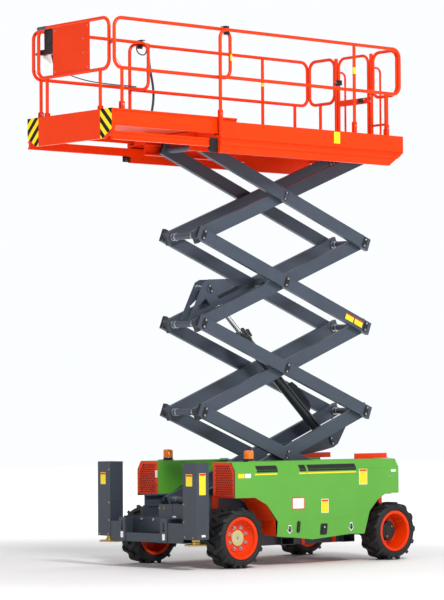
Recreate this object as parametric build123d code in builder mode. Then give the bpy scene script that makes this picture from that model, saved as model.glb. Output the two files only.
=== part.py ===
"""Rough-terrain electric scissor lift, deck part-way up, roll-out deck fully out.

Millimetres. X runs forward to the roll-out deck, Y to the left, Z up from the ground.
The origin is on the ground under the middle of the machine's overall length.
"""
from build123d import *
from math import cos, radians, sin, tan
import os

os.makedirs("parts", exist_ok=True)

# ------------------------------------------------------------------ driving sizes
chassis_x = -660        # middle of the wheelbase
seat = 0.3              # gap at a curved seat or a running fit
clear = 5               # room between pieces that move past each other
sheet = 4               # covers, trays and grilles

# wheels
wheel_base = 2333
wheel_y = 723           # middle of a tyre
tyre_r = 328
tyre_w = 300
lug_h = 27
lugs_a_side = 13
rim_r = 205
rim_lip_r = 231
rim_w = 256
spindle_r = 30

# steering and axles
kingpin_y = 600
kingpin_r = 20
knuckle_r = 42
knuckle_h = 168
axle_h = 120
steer_arm = 120

# chassis frame
beam_in = 345
beam_out = 395
beam_top = 655
beam_low = 205
beam_arch = 395
frame_past_pin = 101.3  # frame's rear end, past the lowest fixed pins
frame_front = 1560

# side modules and their doors
module_in = 467
module_out = 830
module_rear = -1250
module_front = 1240
module_top = 1148
slope_y = 770
slope_z = 1055
hinge_y = 764           # the doors' hinge line
hinge_z = 1153
hinge_r = 4.5
hinge_x = (-1000, -30, 900)     # rear faces of the doors' own knuckles
knuckle_w = 60

# scissor
arm_len = 2643          # pin to pin
arm_h = 145
arm_t = 50
arm_over = 80           # past each pin
outer_in = 278          # inner face of the outer arms
inner_in = 215
rest_angle = 21.6
stages = 4
base_pin_z = 721
pin_r = 22
cross_r = 36
roller_r = 45
track_in = 335
track_out = 395

# lift cylinder, in the inner arms' own axes from their middle
ram_base = (896.5, -202)
ram_eye = (-899, 260)
ram_pin_r = 25
ram_gap = 67            # half the space between the bracket plates
bracket_t = 12
barrel_r = 58
rod_r = 32
barrel_len = 1820
eye_r = 55

# platform
deck_rear = -1400
deck_front = 1390
floor_over_pins = 152.2  # deck floor over the top pins
floor_t = 20
toe_h = 80
gutter_drop = 70
gutter_in = 690
rail_r = 19
rail_bend = 100
rail_y = 775
rail_h = 1085            # top rail over the floor
rail_mid_h = 565
rail_rear_x = -1372

# roll-out deck
ext_front = 2850
ext_rail_y = 700
ext_floor_h = 19
ext_rail_h = 1098        # its top rail over the main floor
ext_rail_loop = 530      # its lower rail below that

# front jacks
jack_x = (1623, 1805)
jack_y = (619, 837)
jack_z = (330, 1151)
jack_leg = 120
foot_r = 125
foot_z = 262

# ------------------------------------------------------------------ worked out
stage_rise = arm_len * sin(radians(rest_angle))
half_span = arm_len * cos(radians(rest_angle)) / 2
inner_out = inner_in + arm_t
outer_out = outer_in + arm_t
frame_rear = -half_span - frame_past_pin
top_pin_z = base_pin_z + stages * stage_rise
floor_top = top_pin_z + floor_over_pins
toe_top = floor_top + toe_h
gutter_top = floor_top - gutter_drop
rail_top = floor_top + rail_h
rail_mid = floor_top + rail_mid_h
ext_floor = floor_top + ext_floor_h
ext_rail_top = floor_top + ext_rail_h
ext_rail_mid = ext_rail_top - ext_rail_loop
axle_front = chassis_x + wheel_base / 2
axle_rear = chassis_x - wheel_base / 2


# ------------------------------------------------------------------ helpers
def at(*values):
    """Places along X from the middle of the wheelbase."""
    return [chassis_x + v for v in values]


def level(*values):
    """Heights from the deck floor."""
    return [floor_top + v for v in values]


def block(x, y, z, mode=Mode.ADD):
    """A box from its low and high faces on each axis."""
    with Locations((sum(x) / 2, sum(y) / 2, sum(z) / 2)):
        Box(abs(x[1] - x[0]), abs(y[1] - y[0]), abs(z[1] - z[0]), mode=mode)


def side_slab(outline, y, mode=Mode.ADD):
    """An outline of (x from the wheelbase, z), between two planes across Y."""
    with BuildSketch(Plane((chassis_x, max(y), 0), (1, 0, 0), (0, -1, 0))) as face:
        with BuildLine():
            Polyline(*outline, close=True)
        make_face()
    extrude(face.sketch, amount=max(y) - min(y), mode=mode)


def end_slab(outline, x, mode=Mode.ADD):
    """An outline of (y, z), between two planes across X."""
    with BuildSketch(Plane((min(x), 0, 0), (0, 1, 0), (1, 0, 0))) as face:
        with BuildLine():
            Polyline(*outline, close=True)
        make_face()
    extrude(face.sketch, amount=max(x) - min(x), mode=mode)


def drum(centre, radius, length, way=(0, 1, 0), mode=Mode.ADD):
    """A round bar whose axis starts at centre and runs along way."""
    with BuildSketch(Plane(centre, z_dir=way)) as face:
        Circle(radius)
    extrude(face.sketch, amount=length, mode=mode)


def rail(points, bend=rail_bend, radius=rail_r, close=False):
    """A bent round tube through the points."""
    with BuildPart() as tube:
        with BuildLine() as path:
            if len(points) == 2:
                Line(*points)
            else:
                FilletPolyline(*points, radius=bend, close=close)
        with BuildSketch(path.line ^ 0):
            Circle(radius)
        sweep()
    return tube.part


def save(piece, name):
    piece.part.label = name
    export_step(piece.part, f"parts/{name}.step")


# ------------------------------------------------------------------ wheels
def wheel_plane(x, side):
    """Local x runs outwards along the axle, local y runs up."""
    return Plane((x, side * wheel_y, tyre_r), (0, side, 0), (1, 0, 0))


def tyre(x, side):
    """Open-centre lugs in two rows, half a pitch apart, their tips leading."""
    plane = wheel_plane(x, side)
    half = tyre_w / 2
    base_r = tyre_r - lug_h
    bore = rim_r + seat
    bead = rim_w / 2 - 10 - seat
    with BuildPart() as shell:
        with BuildSketch(plane):
            with BuildLine():
                Polyline(
                    (-half, 250), (-half, 276), (-half + 12, 304), (-half + 26, tyre_r),
                    (half - 26, tyre_r), (half - 12, 304), (half, 276), (half, 250),
                    close=True,
                )
            make_face()
        revolve(axis=Axis(plane.origin, plane.x_dir))
    with BuildPart() as lugs:
        for row in (-1, 1):
            for i in range(lugs_a_side):
                turn = radians(360 / lugs_a_side * (i + row / 4))
                tread = Plane(plane.origin, (0, 1, 0), (sin(turn), 0, cos(turn)))
                with BuildSketch(tread.offset(base_r - 45)):
                    with BuildLine():
                        Polyline(
                            (-row * 12, -34), (row * (half + 6), 56),
                            (row * (half + 6), 94), (-row * 12, 6), close=True,
                        )
                    make_face()
                extrude(amount=lug_h + 60)
        add(shell.part, mode=Mode.INTERSECT)
    with BuildPart() as piece:
        with BuildSketch(plane):
            with BuildLine():
                Polyline((half - 14, base_r - 10), (half - 26, base_r),
                         (-half + 26, base_r), (-half + 14, base_r - 10))
                ThreePointArc((-half + 14, base_r - 10), (-half + 5, 256), (-bead, bore + 28))
                Polyline((-bead, bore + 28), (-bead, bore), (bead, bore), (bead, bore + 28))
                ThreePointArc((bead, bore + 28), (half - 5, 256), (half - 14, base_r - 10))
            make_face()
        revolve(axis=Axis(plane.origin, plane.x_dir))
        add(lugs.part)
    return piece


def rim(x, side, disc):
    """One-piece wheel: lips, drum and a stepped disc that far out from its middle."""
    plane = wheel_plane(x, side)
    half = rim_w / 2
    with BuildPart() as piece:
        with BuildSketch(plane):
            with BuildLine():
                Polyline(
                    (-half, rim_lip_r), (-half + 10, rim_lip_r), (-half + 10, rim_r),
                    (half - 10, rim_r), (half - 10, rim_lip_r), (half, rim_lip_r),
                    (half, rim_lip_r - 9), (half - 5, rim_r - 8), (half - 38, rim_r - 14),
                    (disc + 22, 168), (disc + 14, 152), (disc + 14, 0), (disc, 0),
                    (disc, 158), (disc + 10, rim_r - 24), (disc + 30, rim_r - 8),
                    (-half + 5, rim_r - 8), (-half, rim_lip_r - 9), close=True,
                )
            make_face()
        revolve(axis=Axis(plane.origin, plane.x_dir))
    return piece


def hub(x, side, disc, cap_r, cap_out):
    """Bearing drum behind the disc and the cap in front of it."""
    plane = wheel_plane(x, side)
    with BuildPart() as piece:
        with BuildSketch(plane):
            with BuildLine():
                Polyline(
                    (-62, spindle_r + seat), (-62, 58), (-14, 58), (-14, 72), (disc, 72),
                    (disc, 0), (-22, 0), (-22, spindle_r + seat), close=True,
                )
            make_face()
            with BuildLine():
                Polyline((disc + 14, 0), (disc + 14, cap_r), (cap_out - 4, cap_r),
                         (cap_out, cap_r - 4), (cap_out, 0), close=True)
            make_face()
        revolve(axis=Axis(plane.origin, plane.x_dir))
    return piece


# name, axle, side, disc face, cap radius, cap face
wheels = [
    ("front_left", axle_front, 1, 34, 73, 60),
    ("front_right", axle_front, -1, 34, 73, 60),
    ("rear_left", axle_rear, 1, -8, 100, 34),
    ("rear_right", axle_rear, -1, -8, 100, 34),
]
for name, axle_x, side, disc, cap_r, cap_out in wheels:
    save(tyre(axle_x, side), f"tyre_{name}")
    save(rim(axle_x, side, disc), f"rim_{name}")
    save(hub(axle_x, side, disc, cap_r, cap_out), f"hub_{name}")


# ------------------------------------------------------------------ axles and steering
def axle_beam(x, half_y):
    """Box beam hung under the frame, with its pads."""
    low = tyre_r - axle_h / 2
    block((x - 50, x + 50), (-half_y, half_y), (low, low + axle_h))
    for side in (-1, 1):
        block((x - 70, x + 70), (side * (beam_in + 2), side * (beam_out - 2)),
              (low + axle_h - 30, beam_arch))


yoke_low = tyre_r - knuckle_h / 2 - seat
yoke_high = tyre_r + knuckle_h / 2 + seat
with BuildPart() as front_axle:
    axle_beam(axle_front, kingpin_y - knuckle_r - clear - 24)
    for side in (-1, 1):
        wall = (side * (kingpin_y - knuckle_r - clear - 24), side * (kingpin_y - knuckle_r - clear))
        block((axle_front - 28, axle_front + 28), wall, (yoke_low - 18, yoke_high + 18))
        for z in (yoke_low - 18, yoke_high):
            block((axle_front - 46, axle_front + 46), (wall[0], side * kingpin_y), (z, z + 18))
            drum((axle_front, side * kingpin_y, z), 46, 18, (0, 0, 1))
            drum((axle_front, side * kingpin_y, z), kingpin_r + seat, 18, (0, 0, 1), Mode.SUBTRACT)
    # steering cylinder across the front of the beam
    drum((axle_front + 92, -190, tyre_r + 8), 34, 380)
    drum((axle_front + 92, -300, tyre_r + 8), 16, 600)
    for y in (-150, 150):
        block((axle_front + 50, axle_front + 92), (y - 12, y + 12), (tyre_r - 20, tyre_r + 36))
save(front_axle, "front_axle")

with BuildPart() as rear_axle:
    axle_beam(axle_rear, 560)
    for side in (-1, 1):
        # wheel motors, their flanges a running gap short of the hubs
        drum((axle_rear, side * 540, tyre_r), 82, 70, (0, side, 0))
        drum((axle_rear, side * 610, tyre_r), 66, wheel_y - 62 - 610 - 1, (0, side, 0))
        drum((axle_rear, side * 640, tyre_r), spindle_r, wheel_y - 26 - 640, (0, side, 0))
save(rear_axle, "rear_axle")

for name, side in (("left", 1), ("right", -1)):
    with BuildPart() as knuckle:
        drum((axle_front, side * kingpin_y, tyre_r - knuckle_h / 2), knuckle_r, knuckle_h, (0, 0, 1))
        drum((axle_front, side * kingpin_y, yoke_low - 24), kingpin_r,
             knuckle_h + 48 + 2 * seat, (0, 0, 1))
        drum((axle_front, side * kingpin_y, tyre_r), spindle_r, wheel_y - 26 - kingpin_y, (0, side, 0))
        # steering arm to the tie rod behind the beam
        block((axle_front - steer_arm, axle_front - 30), (side * (kingpin_y - 17), side * (kingpin_y + 17)),
              (tyre_r - 10, tyre_r + 6))
        drum((axle_front - steer_arm, side * kingpin_y, tyre_r - 10), 26, 16, (0, 0, 1))
    save(knuckle, f"knuckle_{name}")

with BuildPart() as tie_rod:
    drum((axle_front - steer_arm, -kingpin_y, tyre_r - 24), 12, 2 * kingpin_y)
    for side in (-1, 1):
        drum((axle_front - steer_arm, side * kingpin_y, tyre_r - 37), 24, 26.5, (0, 0, 1))
save(tie_rod, "tie_rod")

# ------------------------------------------------------------------ chassis frame
# fork pocket: rear and front face
pockets = [(-910, -725), (26, 222)]
pocket_z = (beam_low, 290)
belly = pocket_z[1] + seat
beam_outline = [
    (frame_rear, beam_top), (frame_rear, beam_arch), (-1010, beam_arch), (-971, belly),
    (806, belly), (950, beam_arch), (1340, beam_arch), (1420, 300), (frame_front, 300),
    (frame_front, beam_top),
]
pocket_wall = 8
pocket_out = 450
# cross member: rear and front face, low and high face
cross_members = [
    (frame_rear + 30, frame_rear + 110, 420, 600), (-1216, -1116, beam_arch, 480), (-420, -340, 320, 480),
    (640, 720, 320, 480), (1116, 1216, beam_arch, 480), (1440, 1540, 320, 560),
]
# arm under a tray: rear and front face, outer end, top
tray_arms = [
    (-1200, -1110, 760, 768), (-660, -610, 780, 345), (-180, -130, 780, 345),
    (500, 550, 780, 345), (1110, 1200, 760, 778),
]
with BuildPart() as chassis_frame:
    for side in (-1, 1):
        side_slab(beam_outline, (side * beam_in, side * beam_out))
save(chassis_frame, "chassis_frame")

# skids under the beams, before, between and behind the fork pockets: top edge, then bottom edge
skids = [
    (-971, pockets[0][0] - seat, -940, pockets[0][0] - seat),
    (pockets[0][1] + seat, pockets[1][0] - seat, pockets[0][1] + seat, pockets[1][0] - seat),
    (pockets[1][1] + seat, 806, pockets[1][1] + seat, 690),
]
with BuildPart() as frame_skids:
    for side in (-1, 1):
        for x0, x1, x2, x3 in skids:
            side_slab([(x0, pocket_z[1]), (x1, pocket_z[1]), (x3, beam_low), (x2, beam_low)],
                      (side * beam_in, side * beam_out))
save(frame_skids, "frame_skids")

with BuildPart() as cross_frames:
    for x0, x1, z0, z1 in cross_members:
        block(at(x0, x1), (seat - beam_in, beam_in - seat), (z0, z1))
save(cross_frames, "cross_frames")

with BuildPart() as fork_pockets:
    for x0, x1 in pockets:
        block(at(x0, x1), (-pocket_out, pocket_out), pocket_z)
        block(at(x0 + pocket_wall, x1 - pocket_wall), (-pocket_out, pocket_out),
              (pocket_z[0] + pocket_wall, pocket_z[1] - pocket_wall), Mode.SUBTRACT)
save(fork_pockets, "fork_pockets")

with BuildPart() as tray_brackets:
    for x0, x1, y1, z0 in tray_arms:
        for side in (-1, 1):
            inner = side * (beam_out + seat)
            block(at(x0, x1), (inner, side * (beam_out + 8)), (z0 - 140, z0))
            block(at(x0, x1), (inner, side * y1), (z0 - 20, z0))
save(tray_brackets, "tray_brackets")

# lower scissor mounts: rear ears with their pins, front roller tracks
ear_y = (beam_in, beam_in + 25)
with BuildPart() as scissor_base:
    for side in (-1, 1):
        side_slab([(20, beam_top), (20, beam_top + 16), (1500, beam_top + 16), (1500, beam_top)],
                  (side * track_in, side * track_out))
        side_slab([(20, 771), (20, 787), (1500, 787), (1500, 771)], (side * track_in, side * track_out))
        side_slab([(20, beam_top), (20, 787), (1500, 787), (1500, beam_top)],
                  (side * (track_out - 10), side * track_out))
        side_slab([(-half_span - 80, beam_top), (-half_span - 80, base_pin_z), (-half_span - 45, 785),
                   (-half_span + 45, 785), (-half_span + 80, base_pin_z), (-half_span + 80, beam_top)],
                  (side * ear_y[0], side * ear_y[1]))
        drum((chassis_x - half_span, side * (outer_in - 12), base_pin_z), pin_r,
             ear_y[1] + 12 - outer_in + 12, (0, side, 0))
        drum((chassis_x - half_span, side * (outer_out + 1), base_pin_z), 38,
             ear_y[0] - outer_out - 1, (0, side, 0))
save(scissor_base, "scissor_base")

# ------------------------------------------------------------------ side modules
# tray line from the front end to the rear end, inside the doors' edge
tray_line = [
    (module_front - sheet, 1120), (module_front - sheet, 778), (955, 778), (792, 702), (645, 500),
    (645, 345), (-715, 345), (-800, 570), (-932, 705), (-1060, 768),
    (module_rear + sheet, 768), (module_rear + sheet, 1120),
]
grille_window = (492, 790, 800, 1118)   # y from, y to, z from, z to

with BuildPart() as module_trays:
    for side in (-1, 1):
        outer = 815 if side > 0 else -module_in - sheet
        with BuildSketch(Plane((chassis_x, outer, 0), (1, 0, 0), (0, -1, 0))):
            with BuildLine():
                Polyline(*tray_line, close=True)
            make_face()
            offset(amount=-sheet, mode=Mode.SUBTRACT)
        extrude(amount=815 - module_in - sheet)
        block(at(-2000, 2000), (side * 400, side * 900), (1060, 1200), Mode.SUBTRACT)
        y0, y1, z0, z1 = grille_window
        block(at(module_front - 20, module_front + 20), (side * y0, side * y1), (z0, z1), Mode.SUBTRACT)
save(module_trays, "module_trays")

with BuildPart() as module_housings:
    for side in (-1, 1):
        side_slab([(module_front, module_top), (module_front, 782), (1062, 782), (780, 930),
                   (-950, 930), (-1080, 770), (module_rear, 770), (module_rear, module_top)],
                  (side * module_in, side * (module_in + sheet)))
        block(at(module_rear, module_front), (side * module_in, side * (slope_y - 10)),
              (module_top - sheet, module_top))
        # rear end wall
        end_slab([(side * module_in, 772), (side * 815, 772), (side * 815, slope_z - 5),
                  (side * (slope_y - 10), module_top), (side * module_in, module_top)],
                 at(module_rear, module_rear + sheet))
        # fixed hinge knuckles, one each side of the door's own
        for x in hinge_x:
            for x0 in (x - 30 - seat, x + knuckle_w + seat):
                drum((chassis_x + x0, side * hinge_y, hinge_z), hinge_r, 30, (1, 0, 0))
                block(at(x0, x0 + 30), (side * 752, side * hinge_y), (module_top - 2, hinge_z))
save(module_housings, "module_housings")

with BuildPart() as front_grilles:
    for side in (-1, 1):
        end_slab([(side * (module_in + sheet), 782), (side * 815, 782), (side * 815, slope_z - 5),
                  (side * (slope_y - 10), module_top - sheet), (side * (module_in + sheet), module_top - sheet)],
                 at(module_front, module_front + 3))
save(front_grilles, "front_grilles")

with BuildPart() as battery_blocks:
    for side in (-1, 1):
        block(at(-600, 560), (side * 490, side * 790), (345 + sheet, 1010))
save(battery_blocks, "battery_blocks")

# door's lower edge, front to rear, round both wheel arches
door_edge = [
    (1240, 1200), (1240, 760), (948, 760), (776, 677), (621, 492), (631, 325), (359, 305),
    (92, 277), (-471, 318), (-701, 314), (-787, 566), (-920, 695), (-1052, 759),
    (-1250, 758), (-1250, 1200),
]
for name, side in (("left", 1), ("right", -1)):
    with BuildPart() as cover:
        end_slab([(side * slope_y, module_top), (side * module_out, slope_z), (side * module_out, 270),
                  (side * (module_out - sheet), 270), (side * (module_out - sheet), slope_z - 1.2),
                  (side * (slope_y - 3.4), module_top - 2.2)], at(module_rear, module_front))
        side_slab(door_edge, (side * 700, side * 900), Mode.INTERSECT)
        for x in hinge_x:
            drum((chassis_x + x, side * hinge_y, hinge_z), hinge_r, knuckle_w, (1, 0, 0))
            end_slab([(side * hinge_y, hinge_z - 4.3), (side * hinge_y, hinge_z + 4.3),
                      (side * (hinge_y + 4), hinge_z + 4.3), (side * 776, 1149), (side * 772, 1145),
                      (side * 768, 1146.5)], at(x, x + knuckle_w))
    save(cover, f"cover_{name}")

# ------------------------------------------------------------------ beacons
with BuildPart() as beacons:
    for side in (-1, 1):
        spot = (chassis_x + 920, side * 695, module_top)
        # radius, height above the housing
        for radius, low, high in ((54, 0, 18), (46, 18, 32), (50, 32, 126)):
            drum((spot[0], spot[1], spot[2] + low), radius, high - low, (0, 0, 1))
save(beacons, "beacons")

# ------------------------------------------------------------------ rear steps and deck rests
# side plate of the steps, x from the frame's rear end
step_outline = [(0, 400), (0, 650), (-10, 700), (-10, 1110), (-50, 1110), (-120, 700), (-120, 400)]
with BuildPart() as rear_steps:
    for side in (-1, 1):
        side_slab([(frame_rear + x, z) for x, z in step_outline], (side * beam_in, side * (beam_in + 8)))
    for x0, x1, z in ((-120, 0, 420), (-118, -10, 690), (-78, -10, 960)):
        block(at(frame_rear + x0, frame_rear + x1), (seat - beam_in, beam_in - seat), (z, z + 20))
    # rests for the lowered deck, on the housings' inner edges
    for side in (-1, 1):
        block(at(-1415, -900), (side * module_in, side * (module_in + 40)), (module_top, module_top + 8))
        block(at(-1415, -900), (side * module_in, side * (module_in + 8)), (module_top, module_top + 59))
save(rear_steps, "rear_steps")

# ------------------------------------------------------------------ front bumper and jacks
# cross plate: rear and front face, y from, y to, z from, z to
bumper_plates = [
    (1560, 1800, -beam_out, beam_out, 284, 296), (1600, 1800, -619, 619, 284, 296),
    (1600, 1612, -619, 619, 284, 550),
    (1788, 1800, -619, 619, 284, 380), (1788, 1800, 345, 619, 284, 500),
    (1788, 1800, -619, -457, 284, 500), (1606, 1794, 345, 357, 284, 540),
    (1606, 1794, -469, -457, 284, 540), (1560, 1600, beam_in, beam_out, 296, 550),
    (1560, 1600, -beam_out, -beam_in, 296, 550), (1560, 1600, 170, 600, 540, 694),
]
# towing lug: y from, y to
lugs = [(-469, -358), (240, 357)]
slot = (34, 90)
with BuildPart() as front_bumper:
    for x0, x1, y0, y1, z0, z1 in bumper_plates:
        block(at(x0, x1), (y0, y1), (z0, z1))
    for y0, y1 in lugs:
        with BuildSketch(Plane((chassis_x + 1788, (y0 + y1) / 2, 415), (0, 1, 0), (1, 0, 0))) as face:
            RectangleRounded(y1 - y0, 262, 24)
            with Locations((0, 30)):
                SlotOverall(slot[1], slot[0], rotation=90, mode=Mode.SUBTRACT)
        extrude(face.sketch, amount=20)
save(front_bumper, "front_bumper")

leg_x = (jack_x[0] + jack_x[1]) / 2 + chassis_x
leg_y = (jack_y[0] + jack_y[1]) / 2
with BuildPart() as jack_boxes:
    for side in (-1, 1):
        block(at(*jack_x), (side * jack_y[0], side * jack_y[1]), jack_z)
        # the leg runs in a close collar at the box's mouth, and clear above it
        for half, low, high in ((jack_leg / 2 + seat, jack_z[0], jack_z[0] + 40),
                                (jack_leg / 2 + clear, jack_z[0] + 40, jack_z[1] - 60)):
            block((leg_x - half, leg_x + half), (side * (leg_y - half), side * (leg_y + half)),
                  (low, high), Mode.SUBTRACT)
save(jack_boxes, "jack_boxes")
for name, side in (("left", 1), ("right", -1)):
    with BuildPart() as jack:
        half = jack_leg / 2
        block((leg_x - half, leg_x + half), (side * leg_y - half, side * leg_y + half),
              (jack_z[0] + 10, jack_z[1] - 80))
        drum((leg_x, side * leg_y, foot_z + 18), 32, jack_z[0] + 10 - foot_z - 18, (0, 0, 1))
        drum((leg_x, side * leg_y, foot_z), foot_r, 18, (0, 0, 1))
        drum((leg_x, side * leg_y, foot_z + 18), 52, 20, (0, 0, 1))
    save(jack, f"jack_{name}")

# ------------------------------------------------------------------ scissor arms
def arm_plane(stage, kind):
    """Local x runs up the arm from its low end, local y square to it, in the middle plane."""
    way = -1 if kind == "inner" else 1
    z = base_pin_z + stage_rise * (stage + 0.5)
    turn = radians(rest_angle)
    return Plane((chassis_x, 0, z), (way * cos(turn), 0, sin(turn)), (0, -way, 0))


def bar(plane, y, outline_or_radius, mode=Mode.ADD, spot=(0, 0)):
    """Round or outlined bar between two distances along the plane's normal."""
    with BuildSketch(plane.offset(min(y))) as face:
        if isinstance(outline_or_radius, list):
            with BuildLine():
                Polyline(*outline_or_radius, close=True)
            make_face()
        else:
            with Locations(spot):
                Circle(outline_or_radius)
    extrude(face.sketch, amount=max(y) - min(y), mode=mode)


half_arm = arm_len / 2
arm_end = half_arm + arm_over
arm_outline = [(-arm_end, -arm_h / 2), (arm_end, -arm_h / 2), (arm_end, arm_h / 2), (-arm_end, arm_h / 2)]
# twin plates that hold the lift cylinder's two ends, on the first and third inner arms
base_plate = [
    (1345, 20), (1345, -30), (1180, -135), (985, -275), (900, -285), (713, -251), (433, -183),
    (350, -120), (350, -16), (450, -16), (450, -40), (1290, -40), (1300, 20),
]
eye_plate = [
    (-1345, -20), (-1345, 20), (-955, 357), (-880, 362), (-256, 150), (-60, 75), (-60, 45),
    (-1280, 45), (-1300, -20),
]
eye_windows = [
    [(-1131, 140), (-993, 180), (-954, 83), (-1140, 83)],
    [(-828, 161), (-573, 166), (-330, 100), (-818, 100)],
]
plate_y = (ram_gap, ram_gap + bracket_t)

for stage in range(stages):
    plane = arm_plane(stage, "outer")
    top = stage == stages - 1
    with BuildPart() as outer:
        for side in (-1, 1):
            bar(plane, (side * outer_in, side * outer_out), arm_outline)
            for spot in (-half_arm, 0, half_arm):
                bar(plane, (side * (outer_in - 1), side * (outer_out + 1)), pin_r + seat, Mode.SUBTRACT, (spot, 0))
        if stage == 0:
            bar(plane, (seat - outer_in, outer_in - seat), cross_r, Mode.ADD, (-half_arm + 60, 0))
        if top:
            bar(plane, (seat - outer_in, outer_in - seat), cross_r, Mode.ADD, (half_arm, 0))
            for side in (-1, 1):
                bar(plane, (side * outer_in, side * outer_out), pin_r + 2, Mode.ADD, (half_arm, 0))
                bar(plane, (side * outer_out, side * 380), pin_r, Mode.ADD, (half_arm, 0))
                bar(plane, (side * 340, side * 380), roller_r, Mode.ADD, (half_arm, 0))
    save(outer, f"outer_arms_{stage + 1}")

    plane = arm_plane(stage, "inner")
    with BuildPart() as inner:
        for side in (-1, 1):
            bar(plane, (side * inner_in, side * inner_out), arm_outline)
            bar(plane, (side * inner_out, side * (outer_out + 6)), pin_r, Mode.ADD, (0, 0))
            if stage > 0:
                bar(plane, (side * inner_out, side * (outer_out + 6)), pin_r, Mode.ADD, (-half_arm, 0))
            else:
                bar(plane, (side * inner_out, side * 380), pin_r, Mode.ADD, (-half_arm, 0))
                bar(plane, (side * 340, side * 380), roller_r, Mode.ADD, (-half_arm, 0))
            bar(plane, (side * inner_out, side * (outer_out + 6)), pin_r, Mode.ADD, (half_arm, 0))
            if stage == 0:
                bar(plane, (side * plate_y[0], side * plate_y[1]), base_plate)
            if stage == 2:
                bar(plane, (side * plate_y[0], side * plate_y[1]), eye_plate)
                for window in eye_windows:
                    bar(plane, (side * plate_y[0], side * plate_y[1]), window, Mode.SUBTRACT)
                bar(plane, (side * plate_y[1], side * (plate_y[1] + 10)), 48, Mode.ADD, ram_eye)
        for spot in (-half_arm, half_arm):
            bar(plane, (seat - inner_in, inner_in - seat), cross_r, Mode.ADD, (spot, 0))
        if stage == 0:
            for side in (-1, 1):
                bar(plane, (side * plate_y[0], side * (inner_in - seat)), 28, Mode.ADD, (400, -50))
                bar(plane, (side * plate_y[0], side * (plate_y[1] + 10)), ram_pin_r, Mode.ADD, ram_base)
        if stage == 2:
            for side in (-1, 1):
                bar(plane, (side * plate_y[0], side * (inner_in - seat)), 28, Mode.ADD, (-250, 76))
            bar(plane, (-plate_y[1] - 10, plate_y[1] + 10), ram_pin_r, Mode.ADD, ram_eye)
    save(inner, f"inner_arms_{stage + 1}")

# ------------------------------------------------------------------ lift cylinder
base_pin = arm_plane(0, "inner").from_local_coords(ram_base)
eye_pin = arm_plane(2, "inner").from_local_coords(ram_eye)
ram_way = (eye_pin - base_pin).normalized()
ram_reach = (eye_pin - base_pin).length
ram_plane = Plane(base_pin, ram_way, (0, -1, 0))
rod_tail = 640          # from the base pin to the rod's inner end

with BuildPart() as cylinder_barrel:
    drum(base_pin, barrel_r, barrel_len, ram_way)
    drum(base_pin + ram_way * (barrel_len - 90), barrel_r + 7, 90, ram_way)
    bar(ram_plane, (-ram_gap + 1, ram_gap - 1), 64)
    bar(ram_plane, (-22, 22), [(barrel_len - 150, 50), (barrel_len - 60, 50), (barrel_len - 60, 105),
                               (barrel_len - 150, 90)])
    bar(ram_plane, (-5, 5), [(420, 50), (900, 50), (860, 130), (780, 150), (520, 150), (450, 120)])
    drum(base_pin + ram_way * 120, rod_r + seat, barrel_len, ram_way, Mode.SUBTRACT)
save(cylinder_barrel, "cylinder_barrel")

with BuildPart() as cylinder_rod:
    drum(base_pin + ram_way * rod_tail, rod_r, ram_reach - rod_tail, ram_way)
    bar(ram_plane, (-ram_gap + 1, ram_gap - 1), eye_r, Mode.ADD, (ram_reach, 0))
    bar(ram_plane, (-40, 40), [(ram_reach - 130, -40), (ram_reach - 30, -40), (ram_reach - 30, 40),
                               (ram_reach - 130, 40)])
    bar(ram_plane, (-ram_gap, ram_gap), ram_pin_r + seat, Mode.SUBTRACT, (ram_reach, 0))
save(cylinder_rod, "cylinder_rod")

# ------------------------------------------------------------------ platform
# outlines below give heights from the deck floor
side_beam = [
    (800, toe_h), (800, -105), (786, -111), (786, -135), (800, -141), (800, -182), (788, -187),
    (788, -265), (748, -265), (748, -gutter_drop - floor_t), (795, -gutter_drop - floor_t), (795, toe_h),
]
gate_y = (-230, 266)      # middles of the gate's two uprights
post_y = (-275, 315)      # posts beside the gate
with BuildPart() as deck_main:
    for side in (-1, 1):
        end_slab([(side * y, floor_top + z) for y, z in side_beam], at(deck_rear, deck_front))
        block(at(deck_rear, deck_front), (side * (gutter_in - 8), side * 796), (gutter_top - floor_t, gutter_top))
        block(at(deck_rear, deck_front), (side * (gutter_in - 8), side * gutter_in),
              (gutter_top - floor_t, floor_top))
        # roller track for the top arms, hung from the floor
        for y, z in (((track_in, track_out), (top_pin_z - 61, top_pin_z - 46)),
                     ((track_in, track_out), (top_pin_z + 46, top_pin_z + 59)),
                     ((track_out - 10, track_out), (top_pin_z - 61, floor_top - floor_t))):
            block(at(20, 1480), (side * y[0], side * y[1]), z)
        # ears for the top arms' fixed pins
        side_slab([(-half_span - 70, floor_top - floor_t), (-half_span - 45, top_pin_z - 56),
                   (-half_span + 45, top_pin_z - 56), (-half_span + 70, floor_top - floor_t)],
                  (side * (inner_out + 20), side * (inner_out + 45)))
        drum((chassis_x - half_span, side * inner_out, top_pin_z), pin_r + seat, 60, (0, side, 0), Mode.SUBTRACT)
        for x0, x1 in ((deck_rear + 5, -1340), (-700, -640), (0, 18), (1340, deck_front)):
            block(at(x0, x1), (side * 400, side * (gutter_in - 8)), level(-75, -floor_t))
    block(at(deck_rear, deck_front), (-gutter_in, gutter_in), (floor_top - floor_t, floor_top))
    for x0, x1 in ((deck_rear + 5, -1340), (-700, -640), (1340, deck_front)):
        block(at(x0, x1), (-400, 400), level(-34, -floor_t))
    block(at(deck_rear, deck_rear + 5), (-795, 795), level(-182, 0))
    block(at(deck_rear, deck_rear + 5), (-795, post_y[0] + 20), level(-182, toe_h))
    block(at(deck_rear, deck_rear + 5), (post_y[1] - 20, 795), level(-182, toe_h))
    # lower rear corner cut back
    low_edge = floor_top - 275
    side_slab([(deck_rear - 5, low_edge + 160), (-1200, low_edge + 20), (-1200, low_edge), (deck_rear - 5, low_edge)],
              (-801, 801), Mode.SUBTRACT)
save(deck_main, "deck_main")

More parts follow.
